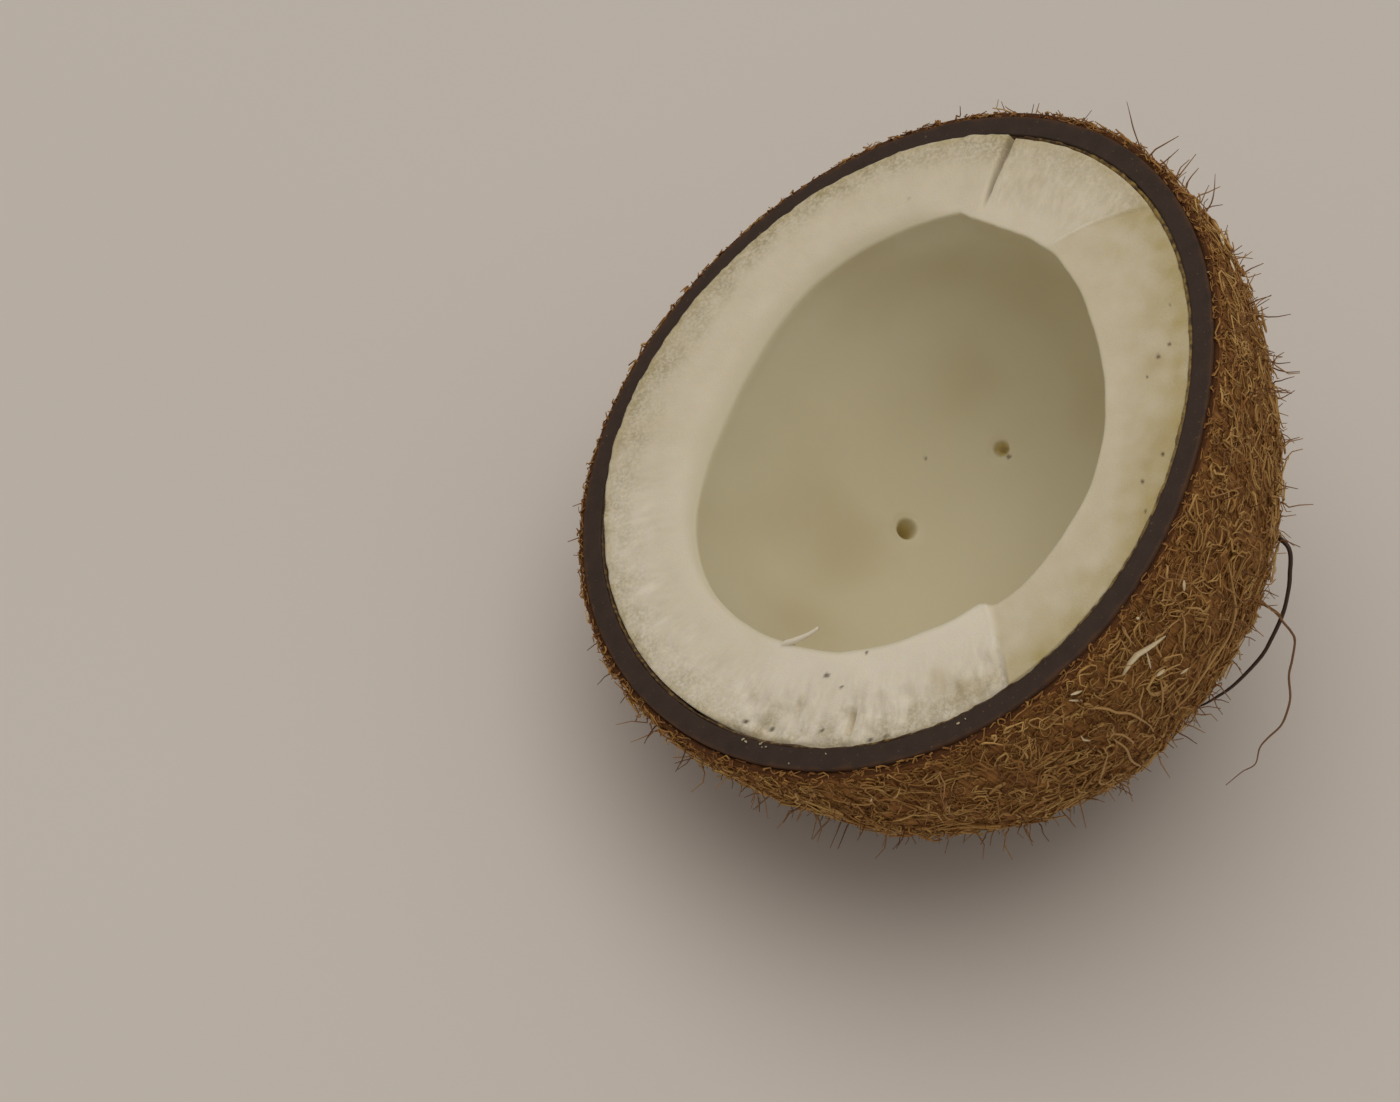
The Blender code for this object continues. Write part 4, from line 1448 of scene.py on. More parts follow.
@dataclass
class CoirFibres:
    """The coat's loose fibres, thousands of curly threads scattered over the coat."""

    mat: CoirMat
    styles: tuple[FibreStyle, ...] = STYLES
    guide_segments: int = 200
    guide_rows: int = 64
    seed: int = 41
    one_way: float = 1.2
    stray: float = 0.5
    off_floor: float = 0.5
    over_rim: float = 0.7
    held_back: float = 0.85
    corners: int = 3
    # Share of its length where a thread bends fully, and how strongly.
    bend: tuple[float, float] = (0.35, 4.0)
    # Noise values at which a thread's loops start and are full.
    loop_span: tuple[float, float] = (0.38, 0.75)
    # Share of its length where a thread starts to thin, and its radius there and at its tip.
    taper: tuple[float, float, float] = (0.3, 0.5, 0.22)
    # Radius of the finest and of the coarsest thread over the usual one.
    coarseness: tuple[float, float] = (0.7, 1.35)

    def guide(self) -> bpy.types.Mesh:
        """The coat's outside as an open sheet that knows which way is down the dome.

        Returns:
            The sheet, in metres.
        """
        azimuth = np.linspace(0, 360, self.guide_segments, endpoint=False)[None, :]
        latitude = (0.05 + 89.4 * np.linspace(0, 1, self.guide_rows) ** 1.4)[:, None]
        places = self.mat.surface(azimuth, latitude, self.mat.sink, False) * MM
        further = self.mat.surface(azimuth, latitude + 0.4, self.mat.sink, False) * MM
        ledge = NUT.shell.points(azimuth, 0 * azimuth, 0.1)
        ledge[..., 2] = -0.35
        ledge = NUT.placed(ledge) * MM
        places, further = np.concatenate([ledge, places]), np.concatenate([places[:1], further])
        way = further - places
        way /= np.maximum(np.linalg.norm(way, axis=-1, keepdims=True), 1e-9)
        faces = sheet_faces(*places.shape[:2], False, True)[:, [0, 3, 2, 1]]
        marks = {"meridian": way.reshape(-1, 3)}
        return new_mesh("coir_guide", places.reshape(-1, 3), faces, marks, flat=True)

    def tree(self) -> GeometryTree:
        """The tree: scatter, lay a thread on each point along the dome, bend it, clear it and thicken it.

        Returns:
            The tree.
        """
        number = "NodeSocketFloat"
        axis = tuple(NUT.pose().to_3x3() @ Vector((0, 0, 1)))
        centre = tuple(NUT.pose().to_translation() * MM)
        made = GeometryTree("coir_fibres", {
            "Seed": ("NodeSocketInt", 0),
            "Steps": ("NodeSocketInt", 8),
            "Per Square Metre": (number, 0.0),
            "Spread": (number, 0.0),
            **{label: (number, 0.0) for label in FIBRE_LENGTHS},
            "One Way": (number, self.one_way * MM),
            "Stray": (number, self.stray * MM),
            "Floor": (number, self.off_floor * MM),
            "Material": ("NodeSocketMaterial", None),
        })
        tree, source = made.tree, made.source
        # How far below the cut a place is, and where on the coat fibres grow.
        place = add(tree, "GeometryNodeInputPosition")
        over = add(tree, VECTOR_MATH, {0: place, 1: centre}, operation="SUBTRACT")
        over = add(tree, VECTOR_MATH, {0: over, 1: axis}, operation="DOT_PRODUCT")
        below = add(tree, MATH, {0: over, 1: -1.0}, operation="MULTIPLY")
        grown = add(tree, MATH, {0: below, 1: source["Clear of Cut"]}, operation="GREATER_THAN")
        shallow = add(tree, MATH, {0: below, 1: source["Deepest"]}, operation="LESS_THAN")
        grown = add(tree, MATH, {0: grown, 1: shallow}, operation="MULTIPLY")
        scatter = add(
            tree, "GeometryNodeDistributePointsOnFaces",
            {0: source["Guide"], 1: grown, "Density": source["Per Square Metre"], "Seed": source["Seed"]},
        ).outputs
        draws = {}
        for step, name in enumerate(("tone", "chance", "flow")):
            seed = add(tree, MATH, {0: source["Seed"], 1: 7.0 + step}, operation="ADD")
            span = {2: 0.0, 3: 1.0, "Seed": seed}
            draws[name] = add(tree, "FunctionNodeRandomValue", span, data_type="FLOAT")
        # Each thread's way: down the dome or up it, turned by its spread; near the cut all of them run down.
        turn = add(tree, MAP_RANGE, {0: draws["flow"], 1: 0.0, 2: 1.0, 3: -1.0, 4: 1.0})
        yaw = add(tree, MATH, {0: turn, 1: source["Spread"]}, operation="MULTIPLY")
        flip = add(tree, MATH, {0: draws["chance"], 1: 0.5}, operation="GREATER_THAN")
        inland = add(tree, MATH, {0: below, 1: source["One Way"]}, operation="GREATER_THAN")
        flip = add(tree, MATH, {0: flip, 1: inland}, operation="MULTIPLY")
        yaw = add(tree, MATH, {0: flip, 1: math.pi, 2: yaw}, operation="MULTIPLY_ADD")
        down = add(tree, RECALL, {"Name": "meridian"}, data_type="FLOAT_VECTOR")
        swing = add(tree, "FunctionNodeAxisAngleToRotation", {0: scatter["Normal"], 1: yaw})
        along = add(tree, "FunctionNodeRotateVector", {0: down, 1: swing})
        lie = add(tree, "FunctionNodeAxesToRotation", {0: along, 1: scatter["Normal"]})
        points: Any = scatter["Points"]
        for name in ("tone", "chance"):
            stored = {0: points, "Name": name, "Value": draws[name]}
            points = add(tree, STORE, stored, data_type="FLOAT", domain="POINT")
        lengths = {0: draws["tone"], 1: 0.0, 2: 1.0, 3: source["Shortest"], 4: source["Longest"]}
        length = add(tree, MAP_RANGE, lengths)
        thread = add(tree, "GeometryNodeCurvePrimitiveLine", {0: (0, 0, 0), 1: (1, 0, 0)})
        thread = add(tree, "GeometryNodeResampleCurve", {0: thread, "Count": source["Steps"]})
        laid = {0: points, 2: thread, "Rotation": lie, "Scale": length}
        real = add(tree, REALIZE, {0: add(tree, "GeometryNodeInstanceOnPoints", laid)})
        reach = add(tree, "GeometryNodeSplineParameter")
        stored = {0: real, "Name": "reach", "Value": reach}
        real = add(tree, STORE, stored, data_type="FLOAT", domain="POINT")
        # Bend each thread by its own noise, more towards its tip.
        chance = add(tree, RECALL, {"Name": "chance"}, data_type="FLOAT")
        own = add(tree, MATH, {0: chance, 1: 97.0}, operation="MULTIPLY")
        moved: Any = place
        for label in ("Sweep", "Kink"):
            scale = add(tree, MATH, {0: 1.0, 1: source[f"{label} Size"]}, operation="DIVIDE")
            noise = {"Vector": place, "W": own, "Scale": scale, "Detail": 0.0}
            wander = add(tree, NOISE, noise, noise_dimensions="4D").outputs["Color"]
            wander = add(tree, VECTOR_MATH, {0: wander, 1: (0.5, 0.5, 0.5)}, operation="SUBTRACT")
            held = add(tree, MAP_RANGE, {0: reach, 1: 0.0, 2: self.bend[0], 3: 0.0, 4: self.bend[1]})
            strength = add(tree, MATH, {0: held, 1: source[label]}, operation="MULTIPLY")
            wander = add(tree, VECTOR_MATH, {0: wander, "Scale": strength}, operation="SCALE")
            moved = add(tree, VECTOR_MATH, {0: wander, 1: moved}, operation="ADD")
        # Put it back on the coat, at its own height, and take away what has left the sheet.
        under, facing = (
            add(
                tree, "GeometryNodeSampleNearestSurface",
                {"Mesh": source["Guide"], "Value": add(tree, kind), "Sample Position": moved},
                data_type="FLOAT_VECTOR",
            )
            for kind in ("GeometryNodeInputPosition", "GeometryNodeInputNormal")
        )
        off = add(tree, VECTOR_MATH, {0: moved, 1: under}, operation="SUBTRACT")
        aside = add(tree, VECTOR_MATH, {0: off, 1: facing}, operation="CROSS_PRODUCT")
        aside = add(tree, VECTOR_MATH, {0: aside}, operation="LENGTH")
        loops = add(tree, MATH, {0: own, 1: 31.0}, operation="ADD")
        scale = add(tree, MATH, {0: 1.0, 1: source["Sweep Size"]}, operation="DIVIDE")
        noise = {"Vector": place, "W": loops, "Scale": scale, "Detail": 0.0}
        loops = add(tree, NOISE, noise, noise_dimensions="4D")
        start, full = self.loop_span
        loops = add(tree, MAP_RANGE, {0: loops, 1: start, 2: full, 3: 0.0, 4: source["Loop"]})
        wild = add(tree, MATH, {0: chance, 1: 3.0}, operation="POWER")
        rise = add(tree, MATH, {0: reach, 1: 2.5}, operation="POWER")
        for factor in (source["Rise"], wild):
            rise = add(tree, MATH, {0: rise, 1: factor}, operation="MULTIPLY")
        height = loops
        for part in (rise, source["Lift"]):
            height = add(tree, MATH, {0: height, 1: part}, operation="ADD")
        rooted = add(tree, MAP_RANGE, {0: reach, 1: 0.0, 2: 0.2, 3: 0.0, 4: 1.0})
        height = add(tree, MATH, {0: height, 1: rooted}, operation="MULTIPLY")
        lifted = add(tree, VECTOR_MATH, {0: facing, "Scale": height}, operation="SCALE")
        target = add(tree, VECTOR_MATH, {0: under, 1: lifted}, operation="ADD")
        astray = add(tree, MATH, {0: aside, 1: source["Stray"]}, operation="GREATER_THAN")
        for name, kind, value in (("target", "FLOAT_VECTOR", target), ("astray", "BOOLEAN", astray)):
            stored = {0: real, "Name": name, "Value": value}
            real = add(tree, STORE, stored, data_type=kind, domain="POINT")
        target = add(tree, RECALL, {"Name": "target"}, data_type="FLOAT_VECTOR")
        astray = add(tree, RECALL, {"Name": "astray"}, data_type="BOOLEAN")
        real = add(tree, SET_POSITION, {0: real, 2: target})
        real = add(tree, "GeometryNodeDeleteGeometry", {0: real, 1: astray}, domain="POINT")
        # Hold it back at the cut and keep it off the floor.
        over_rim = self.over_rim * MM
        room = add(tree, MATH, {0: chance, 1: over_rim, 2: -over_rim}, operation="MULTIPLY_ADD")
        excess = add(tree, MATH, {0: over, 1: room}, operation="SUBTRACT")
        excess = add(tree, MATH, {0: excess, 1: 0.0}, operation="MAXIMUM")
        excess = add(tree, MATH, {0: excess, 1: -self.held_back}, operation="MULTIPLY")
        back = add(tree, VECTOR_MATH, {0: axis, "Scale": excess}, operation="SCALE")
        real = add(tree, SET_POSITION, {0: real, 3: back})
        now = add(tree, "ShaderNodeSeparateXYZ", {0: place}).outputs
        level = add(tree, MATH, {0: now[2], 1: source["Floor"]}, operation="MAXIMUM")
        clear = add(tree, "ShaderNodeCombineXYZ", {0: now[0], 1: now[1], 2: level})
        real = add(tree, SET_POSITION, {0: real, 2: clear})
        # Thicken it, thinner towards its tip.
        start, root, tip = self.taper
        girth = add(tree, MAP_RANGE, {0: reach, 1: start, 2: 1.0, 3: root, 4: tip})
        finest, coarsest = self.coarseness
        own_girth = add(tree, MAP_RANGE, {0: chance, 1: 0.0, 2: 1.0, 3: finest, 4: coarsest})
        for factor in (source["Thickness"], own_girth):
            girth = add(tree, MATH, {0: girth, 1: factor}, operation="MULTIPLY")
        profile = add(tree, "GeometryNodeCurvePrimitiveCircle", {0: self.corners, "Radius": 1.0})
        tube = add(tree, "GeometryNodeCurveToMesh", {0: real, 1: profile, "Scale": girth, "Fill Caps": True})
        made.finish(add(tree, "GeometryNodeSetShadeSmooth", {0: tube}))
        return made

    def build(self) -> list[bpy.types.Object]:
        """Grow every kind of fibre, in pieces small enough to keep.

        Returns:
            The objects.
        """
        tree, guide, made = self.tree(), self.guide(), []
        for style in self.styles:
            material = style.finish.make()
            for copy in range(style.copies):
                name = f"coir_{style.kind.value}_{copy + 1}"
                own = {"Seed": self.seed + 10 * copy + len(made), "Material": material}
                obj = piece(name, tree.grow(name, guide, style.inputs() | own), None)
                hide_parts("husk")
                made.append(obj)
        return made


def curved(route: Sequence[Sequence[float]], steps: int) -> np.ndarray:
    """A smooth line through a route's points.

    Args:
        route: the points.
        steps: places for each stretch between two points.

    Returns:
        The line's places.
    """
    points = np.array(route, float)
    points = np.vstack([2 * points[0] - points[1], points, 2 * points[-1] - points[-2]])
    out = []
    for p0, p1, p2, p3 in zip(points, points[1:], points[2:], points[3:]):
        for t in np.linspace(0, 1, steps, endpoint=False):
            out.append(0.5 * (
                2 * p1 + (p2 - p0) * t + (2 * p0 - 5 * p1 + 4 * p2 - p3) * t ** 2
                + (3 * p1 - p0 - 3 * p2 + p3) * t ** 3
            ))
    return np.array(out + [points[-2]])


def tube_mesh(
    name: str, line: np.ndarray, girths: np.ndarray, sides: int, flat: float = 1.0
) -> bpy.types.Mesh:
    """A closed tapered tube.

    Args:
        name: the mesh's name.
        line: places along its middle, millimetres.
        girths: radius at each place.
        sides: corners of the section.
        flat: thickness of the section over its width.

    Returns:
        The mesh, in metres.
    """
    ahead = np.gradient(line, axis=0)
    ahead /= np.linalg.norm(ahead, axis=1, keepdims=True)
    side = np.cross(ahead, [0.2, 0.3, 0.93])
    side /= np.linalg.norm(side, axis=1, keepdims=True)
    other = np.cross(ahead, side)
    angle = np.linspace(0, math.tau, sides, endpoint=False)
    ring = side[:, None] * np.cos(angle)[None, :, None] + other[:, None] * np.sin(angle)[None, :, None] * flat
    vertices = (line[:, None] + ring * girths[:, None, None]).reshape(-1, 3) * MM
    numbers = np.arange(len(vertices))
    faces = [*sheet_faces(len(line), sides, False, True), numbers[:sides][::-1], numbers[-sides:]]
    return new_mesh(name, vertices, faces)


def joined_mesh(name: str, parts: Sequence[bpy.types.Mesh]) -> bpy.types.Mesh:
    """Join meshes into one and remove them.

    Args:
        name: the new mesh's name.
        parts: the meshes.

    Returns:
        The joined mesh.
    """
    vertices, faces = [], []
    for part in parts:
        first = len(vertices)
        vertices += [tuple(vertex.co) for vertex in part.vertices]
        faces += [[first + i for i in face.vertices] for face in part.polygons]
        bpy.data.meshes.remove(part)
    return new_mesh(name, vertices, faces)


@dataclass
class StrayFibres:
    """The long fibres that stand off the right of the coat, as points of the resting pose."""

    sides: int = 8
    dark: tuple[tuple[float, float, float], ...] = (
        (40.5, -11.0, 44.0), (45.0, -15.7, 45.2), (45.6, -18.7, 41.7), (45.3, -20.9, 38.9), (44.7, -22.5, 36.6),
        (43.3, -24.6, 33.9), (41.7, -26.4, 31.4), (38.0, -29.0, 28.2), (35.1, -30.2, 26.3), (32.8, -30.7, 24.9),
        (29.5, -30.5, 23.5),
    )
    light: tuple[tuple[float, float, float], ...] = (
        (40.6, -20.4, 38.0), (43.8, -22.2, 37.2), (44.7, -23.2, 36.3), (46.0, -24.4, 35.3), (46.6, -25.5, 34.4),
        (46.2, -27.7, 32.5), (45.7, -29.6, 31.0), (45.9, -32.1, 28.9), (45.3, -34.0, 27.3), (44.4, -35.4, 26.1),
        (42.5, -36.8, 25.0), (41.3, -37.9, 24.0), (40.6, -39.8, 22.5), (38.6, -40.7, 21.7), (36.2, -42.2, 20.4),
    )
    rim_hair: tuple[tuple[float, float, float], ...] = (
        (24.2, 33.0, 79.6), (23.4, 34.5, 80.7), (22.6, 35.9, 82.3), (22.1, 37.2, 83.7), (21.6, 38.8, 85.0),
    )
    side_hair: tuple[tuple[float, float, float], ...] = (
        (31.8, 22.8, 74.0), (33.1, 24.3, 75.6), (34.0, 25.2, 76.8), (34.4, 26.5, 78.2), (34.5, 28.2, 80.0),
    )

    def build(self, dark: bpy.types.Material, light: bpy.types.Material) -> list[bpy.types.Object]:
        """Build each stray fibre as its own piece.

        Args:
            dark: the dark fibre's finish.
            light: the others' finish.

        Returns:
            The objects.
        """
        made = []
        for name, route, girth, material in (
            ("stray_fibre_dark", self.dark, 0.36, dark), ("stray_fibre_light", self.light, 0.21, light),
            ("stray_hair_rim", self.rim_hair, 0.12, light), ("stray_hair_side", self.side_hair, 0.13, light),
        ):
            line = curved(route, 8)
            girths = girth * np.interp(np.linspace(0, 1, len(line)), [0, 0.6, 1], [1.0, 0.85, 0.3])
            made.append(piece(name, tube_mesh(name, line, girths, self.sides), material))
        return made


@dataclass
class Flakes:
    """Pale split fibres and golden threads that cling to the coat, and the scraps of flesh.

    Each flake and thread is a half width and a route of azimuths and latitudes.
    """

    mat: CoirMat
    loose_flakes: int = 40
    seed: int = 5
    clear_of_floor: float = 0.4
    flake_height: float = 1.15
    thread_height: tuple[float, float] = (0.35, 0.85)
    flakes: tuple[tuple[float, tuple[tuple[float, float], ...]], ...] = (
        (0.52, ((85.75, 5.25), (87.6, 4.7), (89.25, 4.75), (91.75, 6.0), (94.0, 7.0))),
        (0.38, ((90.5, 5.75), (89.5, 7.5), (89.0, 8.5))),
        (0.36, ((102.0, 4.0), (100.75, 5.0))),
        (0.28, ((93.0, 0.9), (93.5, 1.25))),
        (0.30, ((79.0, 1.5), (80.5, 2.25))),
        (0.26, ((78.25, 2.0), (79.5, 3.5))),
        (0.30, ((75.5, 8.5), (75.25, 9.5), (75.75, 10.75))),
        (0.34, ((88.75, 10.5), (90.25, 11.0))),
        (0.20, ((91.25, 15.0), (92.75, 15.5))),
        (0.26, ((166.0, 4.2), (163.0, 3.6))),
        (0.24, ((160.5, 4.2), (158.6, 4.8))),
    )
    threads: tuple[tuple[float, tuple[tuple[float, float], ...]], ...] = (
        (0.20, (
            (109.8, 11.5), (107.2, 14.8), (105.0, 17.8), (102.5, 20.0), (100.0, 21.0), (96.5, 21.0), (92.5, 21.3),
            (89.2, 22.5), (85.8, 22.0), (83.8, 19.8),
        )),
        (0.17, ((78.2, 12.8), (79.2, 14.2), (79.2, 17.0), (78.8, 19.0))),
        (0.19, ((77.8, 14.2), (77.8, 17.5), (76.5, 22.5), (75.8, 28.0), (75.5, 36.0))),
        (0.17, ((75.5, 17.0), (72.8, 20.5), (70.2, 24.2), (71.0, 26.2), (72.5, 26.5), (73.0, 29.5))),
        (0.20, (
            (78.8, 5.8), (80.0, 6.8), (80.8, 8.2), (81.2, 9.8), (82.2, 11.8), (82.5, 14.8), (82.5, 18.5),
            (81.8, 22.0),
        )),
        (0.17, ((102.2, 0.8), (100.8, 1.0), (99.8, 2.0))),
        (0.17, ((99.2, 7.5), (100.2, 9.0), (100.2, 10.0), (99.8, 10.8))),
        (0.16, ((84.2, 5.0), (85.0, 5.8), (85.2, 6.5), (85.0, 7.5))),
        (0.15, ((91.0, 0.5), (90.5, 1.0), (90.0, 2.5), (89.0, 3.2))),
        (0.16, ((98.0, 8.2), (96.2, 9.8), (94.8, 11.0), (94.0, 13.0))),
        (0.17, ((88.8, 12.5), (87.2, 15.2), (85.5, 18.0), (84.5, 19.5))),
        (0.15, ((86.5, 10.5), (84.2, 11.8), (83.2, 14.2), (81.2, 16.2))),
    )
    # Azimuth, distance from the nut's axis and size of each crumb on the shell's rim.
    crumbs: tuple[tuple[float, float, float], ...] = (
        (26.1, 53.3, 0.28), (25.4, 53.0, 0.2), (28.9, 53.0, 0.26), (30.1, 53.4, 0.22), (35.1, 55.6, 0.13),
        (41.1, 54.0, 0.14), (63.2, 54.2, 0.24), (64.4, 54.0, 0.16), (154.7, 53.1, 0.15), (29.4, 53.6, 0.13),
    )
    # The curl of flesh at the hollow's edge, as points of the nut's frame, and its radius.
    curl: tuple[tuple[float, float, float], ...] = (
        (35.0, 15.0, -0.4), (33.6, 16.0, 0.5), (32.6, 17.1, 1.0), (31.4, 18.1, 1.4), (30.2, 19.0, 1.8),
        (28.7, 19.8, 2.3),
    )
    curl_girth: float = 0.62

    def build(
        self, pale: bpy.types.Material, gold: bpy.types.Material, white: bpy.types.Material,
        cream: bpy.types.Material,
    ) -> list[bpy.types.Object]:
        """Build the flakes, the threads, the crumbs and the curl as a piece each.

        Args:
            pale: the flakes' finish.
            gold: the threads' finish.
            white: the curl's finish.
            cream: the crumbs' finish.

        Returns:
            The objects.
        """
        rng = random.Random(self.seed)
        routes = [*self.flakes, *(self.loose_route(rng) for _ in range(self.loose_flakes))]
        line = NUT.placed(curved(self.curl, 6))
        girths = self.curl_girth * np.interp(np.linspace(0, 1, len(line)), [0, 0.5, 1], [1.1, 1.0, 0.55])
        made = []
        for name, parts, material, slot in (
            ("coir_pale_flakes", [self.flake(*route) for route in routes], pale, "coir"),
            ("coir_golden_threads", [self.thread(*route) for route in self.threads], gold, "coir"),
            ("flesh_crumbs", [self.crumb(rng, *spot) for spot in self.crumbs], cream, "flesh"),
            ("flesh_curl", [tube_mesh("curl", line, girths, 8, 0.75)], white, "flesh"),
        ):
            made.append(piece(name, joined_mesh(name, parts), material))
        return made

    def loose_route(self, rng: random.Random) -> tuple[float, tuple[tuple[float, float], ...]]:
        """Half width and route of one short flake that lies anywhere on the coat.

        Args:
            rng: the source of random numbers.

        Returns:
            The half width and the route.
        """
        azimuth, latitude, turn = rng.uniform(0, 360), rng.uniform(4, 62), rng.uniform(0, math.tau)
        half = math.degrees(rng.uniform(0.4, 1.2) / 57)
        east, south = half * math.cos(turn) / math.cos(math.radians(latitude)), half * math.sin(turn)
        return rng.uniform(0.12, 0.22), ((azimuth - east, latitude - south), (azimuth + east, latitude + south))

    def crumb(self, rng: random.Random, at: float, out: float, size: float) -> bpy.types.Mesh:
        """One crumb of flesh that sticks to the shell's rim.

        Args:
            rng: the source of random numbers.
            at: degrees round the nut.
            out: distance from the nut's axis.
            size: half its length.

        Returns:
            The crumb's mesh.
        """
        turn = rng.uniform(0, math.tau)
        way = np.array([math.cos(turn), math.sin(turn), 0.25]) * size
        bent = np.array([[rng.uniform(-0.5, 0.5) * size for _ in range(3)] for _ in range(5)])
        line = NUT.placed(around(at, out, 0.12) + np.linspace(-1, 1, 5)[:, None] * way + bent * [1, 1, 0.3])
        girths = size * np.array([0.3, 0.8, rng.uniform(0.5, 1.1), rng.uniform(0.4, 0.9), 0.2])
        return tube_mesh("crumb", line, girths, 5, 0.6)

    def thread(self, girth: float, route: tuple[tuple[float, float], ...]) -> bpy.types.Mesh:
        """One long golden thread on the coat.

        Args:
            girth: its radius.
            route: azimuths and latitudes.

        Returns:
            The thread's mesh.
        """
        line = curved(route, 7)
        share = np.linspace(0, 1, len(line))
        low, arch = self.thread_height
        places = self.over_coat(line[:, 0], line[:, 1], 0.3, low + arch * np.sin(np.pi * share) ** 0.5)
        girths = girth * np.interp(share, [0, 0.15, 0.7, 1], [0.5, 1.0, 0.9, 0.45])
        return tube_mesh("thread", places, girths, 6)

    def flake(self, girth: float, route: tuple[tuple[float, float], ...]) -> bpy.types.Mesh:
        """One pale flake on the coat.

        Args:
            girth: its half width.
            route: azimuths and latitudes.

        Returns:
            The flake's mesh.
        """
        line = np.array(route)
        share = np.linspace(0, 1, 9)
        azimuths, latitudes = (np.interp(share, np.linspace(0, 1, len(line)), line[:, i]) for i in (0, 1))
        places = self.over_coat(azimuths, latitudes, 1.0, np.full(len(share), self.flake_height))
        girths = girth * np.sin(np.linspace(0.3, math.pi - 0.2, len(share)))
        return tube_mesh("flake", places, girths, 6, 0.45)

    def over_coat(
        self, azimuth: np.ndarray, latitude: np.ndarray, highest: float, height: np.ndarray
    ) -> np.ndarray:
        """Places that stand off the coat and clear the floor.

        Args:
            azimuth: degrees round the nut.
            latitude: degrees from the cut.
            highest: the least latitude that is used, which keeps the places below the cut.
            height: millimetres off the coat.

        Returns:
            Places in the resting frame, millimetres.
        """
        places = self.mat.surface(azimuth, np.clip(latitude, highest, 89.0), 0.0, False)
        turn = np.array(NUT.pose())[:3, :3]
        places = places + NUT.coir.normals(azimuth, latitude) @ turn.T * height[:, None]
        return np.concatenate([places[:, :2], np.maximum(places[:, 2:], self.clear_of_floor)], axis=1)


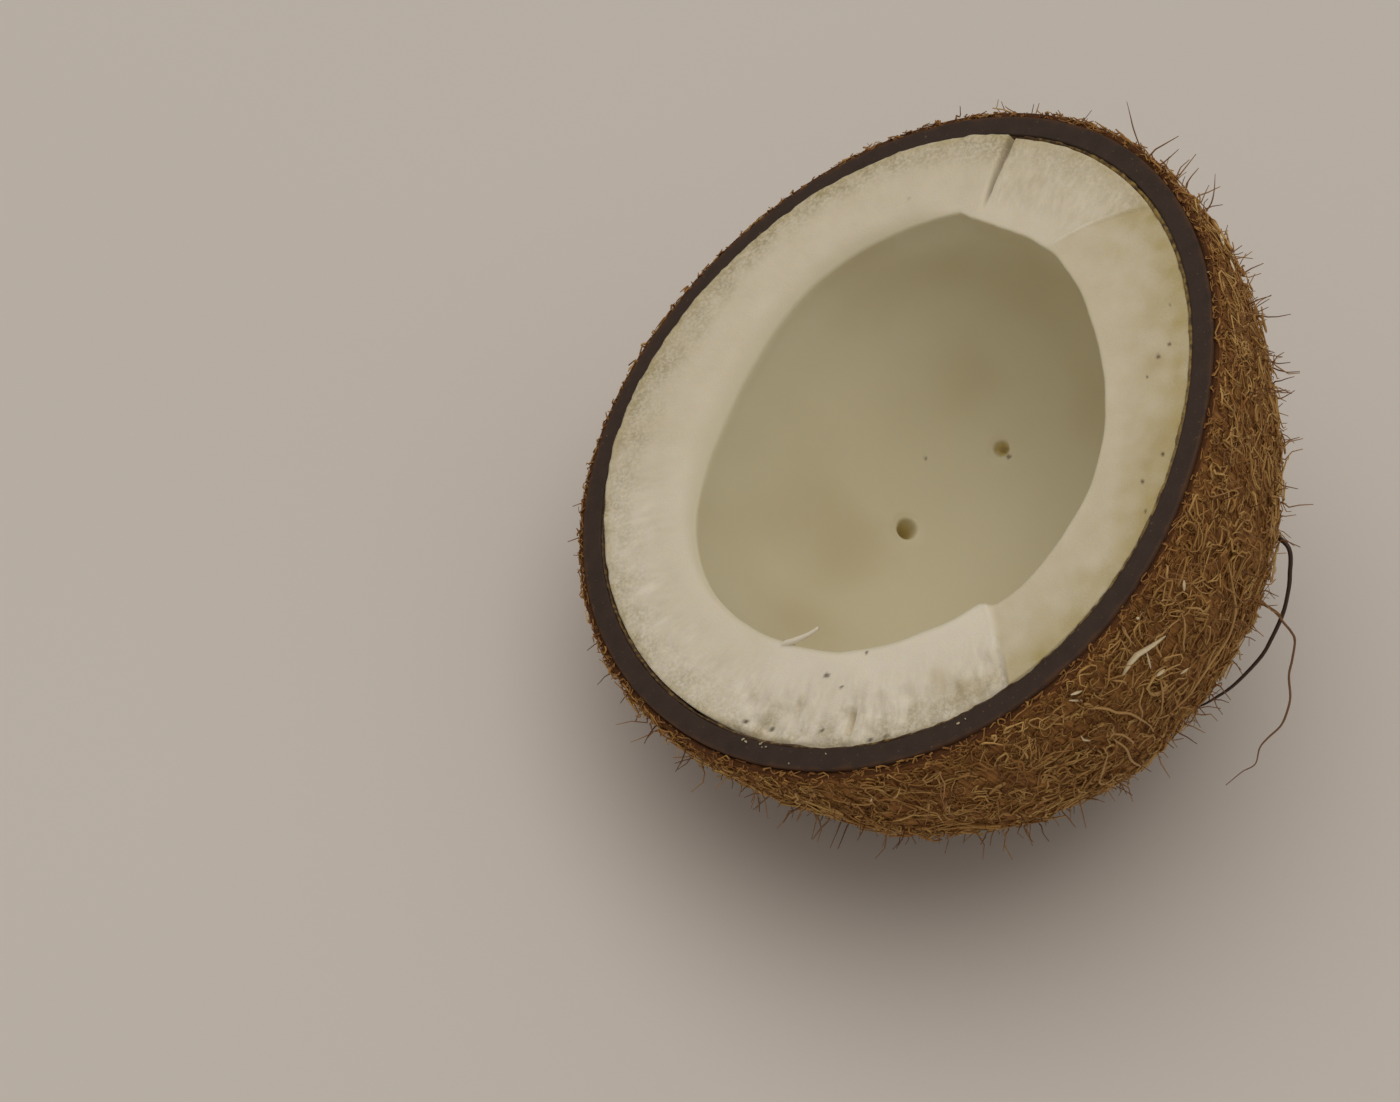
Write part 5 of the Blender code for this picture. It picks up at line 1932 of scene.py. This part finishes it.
@dataclass
class Stage:
    """The plain floor, soft studio light and the camera at the photograph's angle."""

    aim: tuple[float, float, float] = (-43.2, -15.81, 43.93)
    distance: float = 450.0
    elevation: float = 50.0
    focal: float = 76.834
    sensor: float = 36.0
    floor: str = "#E3DDD5"
    floor_shade: str = "#D8D1C8"
    sky: str = "#FFF9F3"
    lamp: str = "#FFF8F1"
    sky_strength: float = 0.36
    lamp_power: float = 4.65
    lamp_size: float = 1.3
    lamp_place: tuple[float, float, float] = (-0.03, 0.08, 1.15)
    floor_size: float = 8.0

    def camera(self) -> None:
        """Place the camera; the photograph's frame is 1400 by 1102."""
        data = bpy.data.cameras.new("camera")
        data.lens, data.sensor_width = self.focal, self.sensor
        data.sensor_fit = "HORIZONTAL"
        data.clip_start, data.clip_end = 0.01, 50.0
        data.dof.use_dof = False
        angle = math.radians(self.elevation)
        aim = Vector(self.aim) * MM
        away = Vector((0, -math.cos(angle), math.sin(angle))) * self.distance * MM
        camera = bpy.data.objects.new("camera", data)
        camera.location = aim + away
        camera.rotation_euler = (math.pi / 2 - angle, 0, 0)
        bpy.context.scene.collection.objects.link(camera)
        bpy.context.scene.camera = camera

    def light(self) -> None:
        """A pale sky all round and one large soft lamp overhead, a little behind."""
        world = bpy.data.worlds.new("studio")
        world.use_nodes = True
        background = world.node_tree.nodes["Background"]
        background.inputs[0].default_value = linear(self.sky)
        background.inputs[1].default_value = self.sky_strength
        bpy.context.scene.world = world
        data = bpy.data.lights.new("soft_lamp", "AREA")
        data.shape, data.size, data.energy = "DISK", self.lamp_size, self.lamp_power
        data.color = linear(self.lamp)[:3]
        lamp = bpy.data.objects.new("soft_lamp", data)
        lamp.location = self.lamp_place
        lamp.rotation_euler = (Vector(self.lamp_place)).to_track_quat("Z", "Y").to_euler()
        bpy.context.scene.collection.objects.link(lamp)
        bpy.context.scene.view_settings.view_transform = "Standard"

    def ground(self) -> None:
        """A matt pale floor, faintly uneven in tone."""
        half = self.floor_size / 2
        corners = [(-half, -half, 0), (half, -half, 0), (half, half, 0), (-half, half, 0)]
        mesh = new_mesh("floor", corners, [(0, 1, 2, 3)], flat=True)
        material, tree, shader = new_material("paper_floor_matt")
        place = add(tree, COORDINATES).outputs["Object"]
        cloud = add(tree, NOISE, {"Vector": place, "Scale": 6.0, "Detail": 1.0})
        share = add(tree, MAP_RANGE, {0: cloud, 1: 0.0, 2: 1.0, 3: 0.0, 4: 0.3})
        colours = {0: share, 6: linear(self.floor), 7: linear(self.floor_shade)}
        colour = add(tree, MIX, colours, data_type="RGBA")
        feed(shader, {"Base Color": colour, "Roughness": 0.9, "Specular IOR Level": 0.1})
        mesh.materials.append(material)
        floor = bpy.data.objects.new("floor", mesh)
        bpy.context.scene.collection.objects.link(floor)

    def build(self) -> None:
        """Set the whole stage."""
        self.camera()
        self.light()
        self.ground()


def main() -> None:
    """Build the half and its stage, piece by piece."""
    logging.basicConfig(level=logging.INFO, format="%(message)s")
    Stage().build()
    Flesh().build(FleshFinish().make())
    Skin().build(SkinFinish().make())
    Shell().build(ShellFinish().make())
    mat = CoirMat()
    mat.build(MattedCoirFinish().make())
    CoirFibres(mat).build()
    # Two long dry fibres, an old one almost black and a young one of plain brown, both dull.
    dark = PlainFinish("coir_long_dark", "#2E1D15", "#4A3020", 0.5).make()
    light = PlainFinish("coir_long_light", "#6E4B2C", "#8A6540", 0.6).make()
    StrayFibres().build(dark, light)
    # Split fibre that shows its inside, the palest thing on the coat.
    pale = PlainFinish("coir_pale_split", "#EFE3C2", "#D3BA88", 0.6).make()
    # A shaving of fresh flesh, white as the break it hangs from.
    white = PlainFinish("coconut_flesh_curl", "#F8F0DD", "#EDE3C8", 0.5).make()
    # Whole threads that weren't rubbed: golden, in long stretches of light and darker.
    gold = PlainFinish("coir_threads_golden", "#A87C3F", "#CBA569", 0.6, 2.5).make()
    # Crumbs of flesh mixed with shell dust, so darker and drier than the flesh.
    cream = PlainFinish("coconut_crumbs", "#D8CBA9", "#B3A47E", 0.8, 0.4).make()
    Flakes(mat).build(pale, gold, white, cream)


if __name__ == "__main__":
    main()
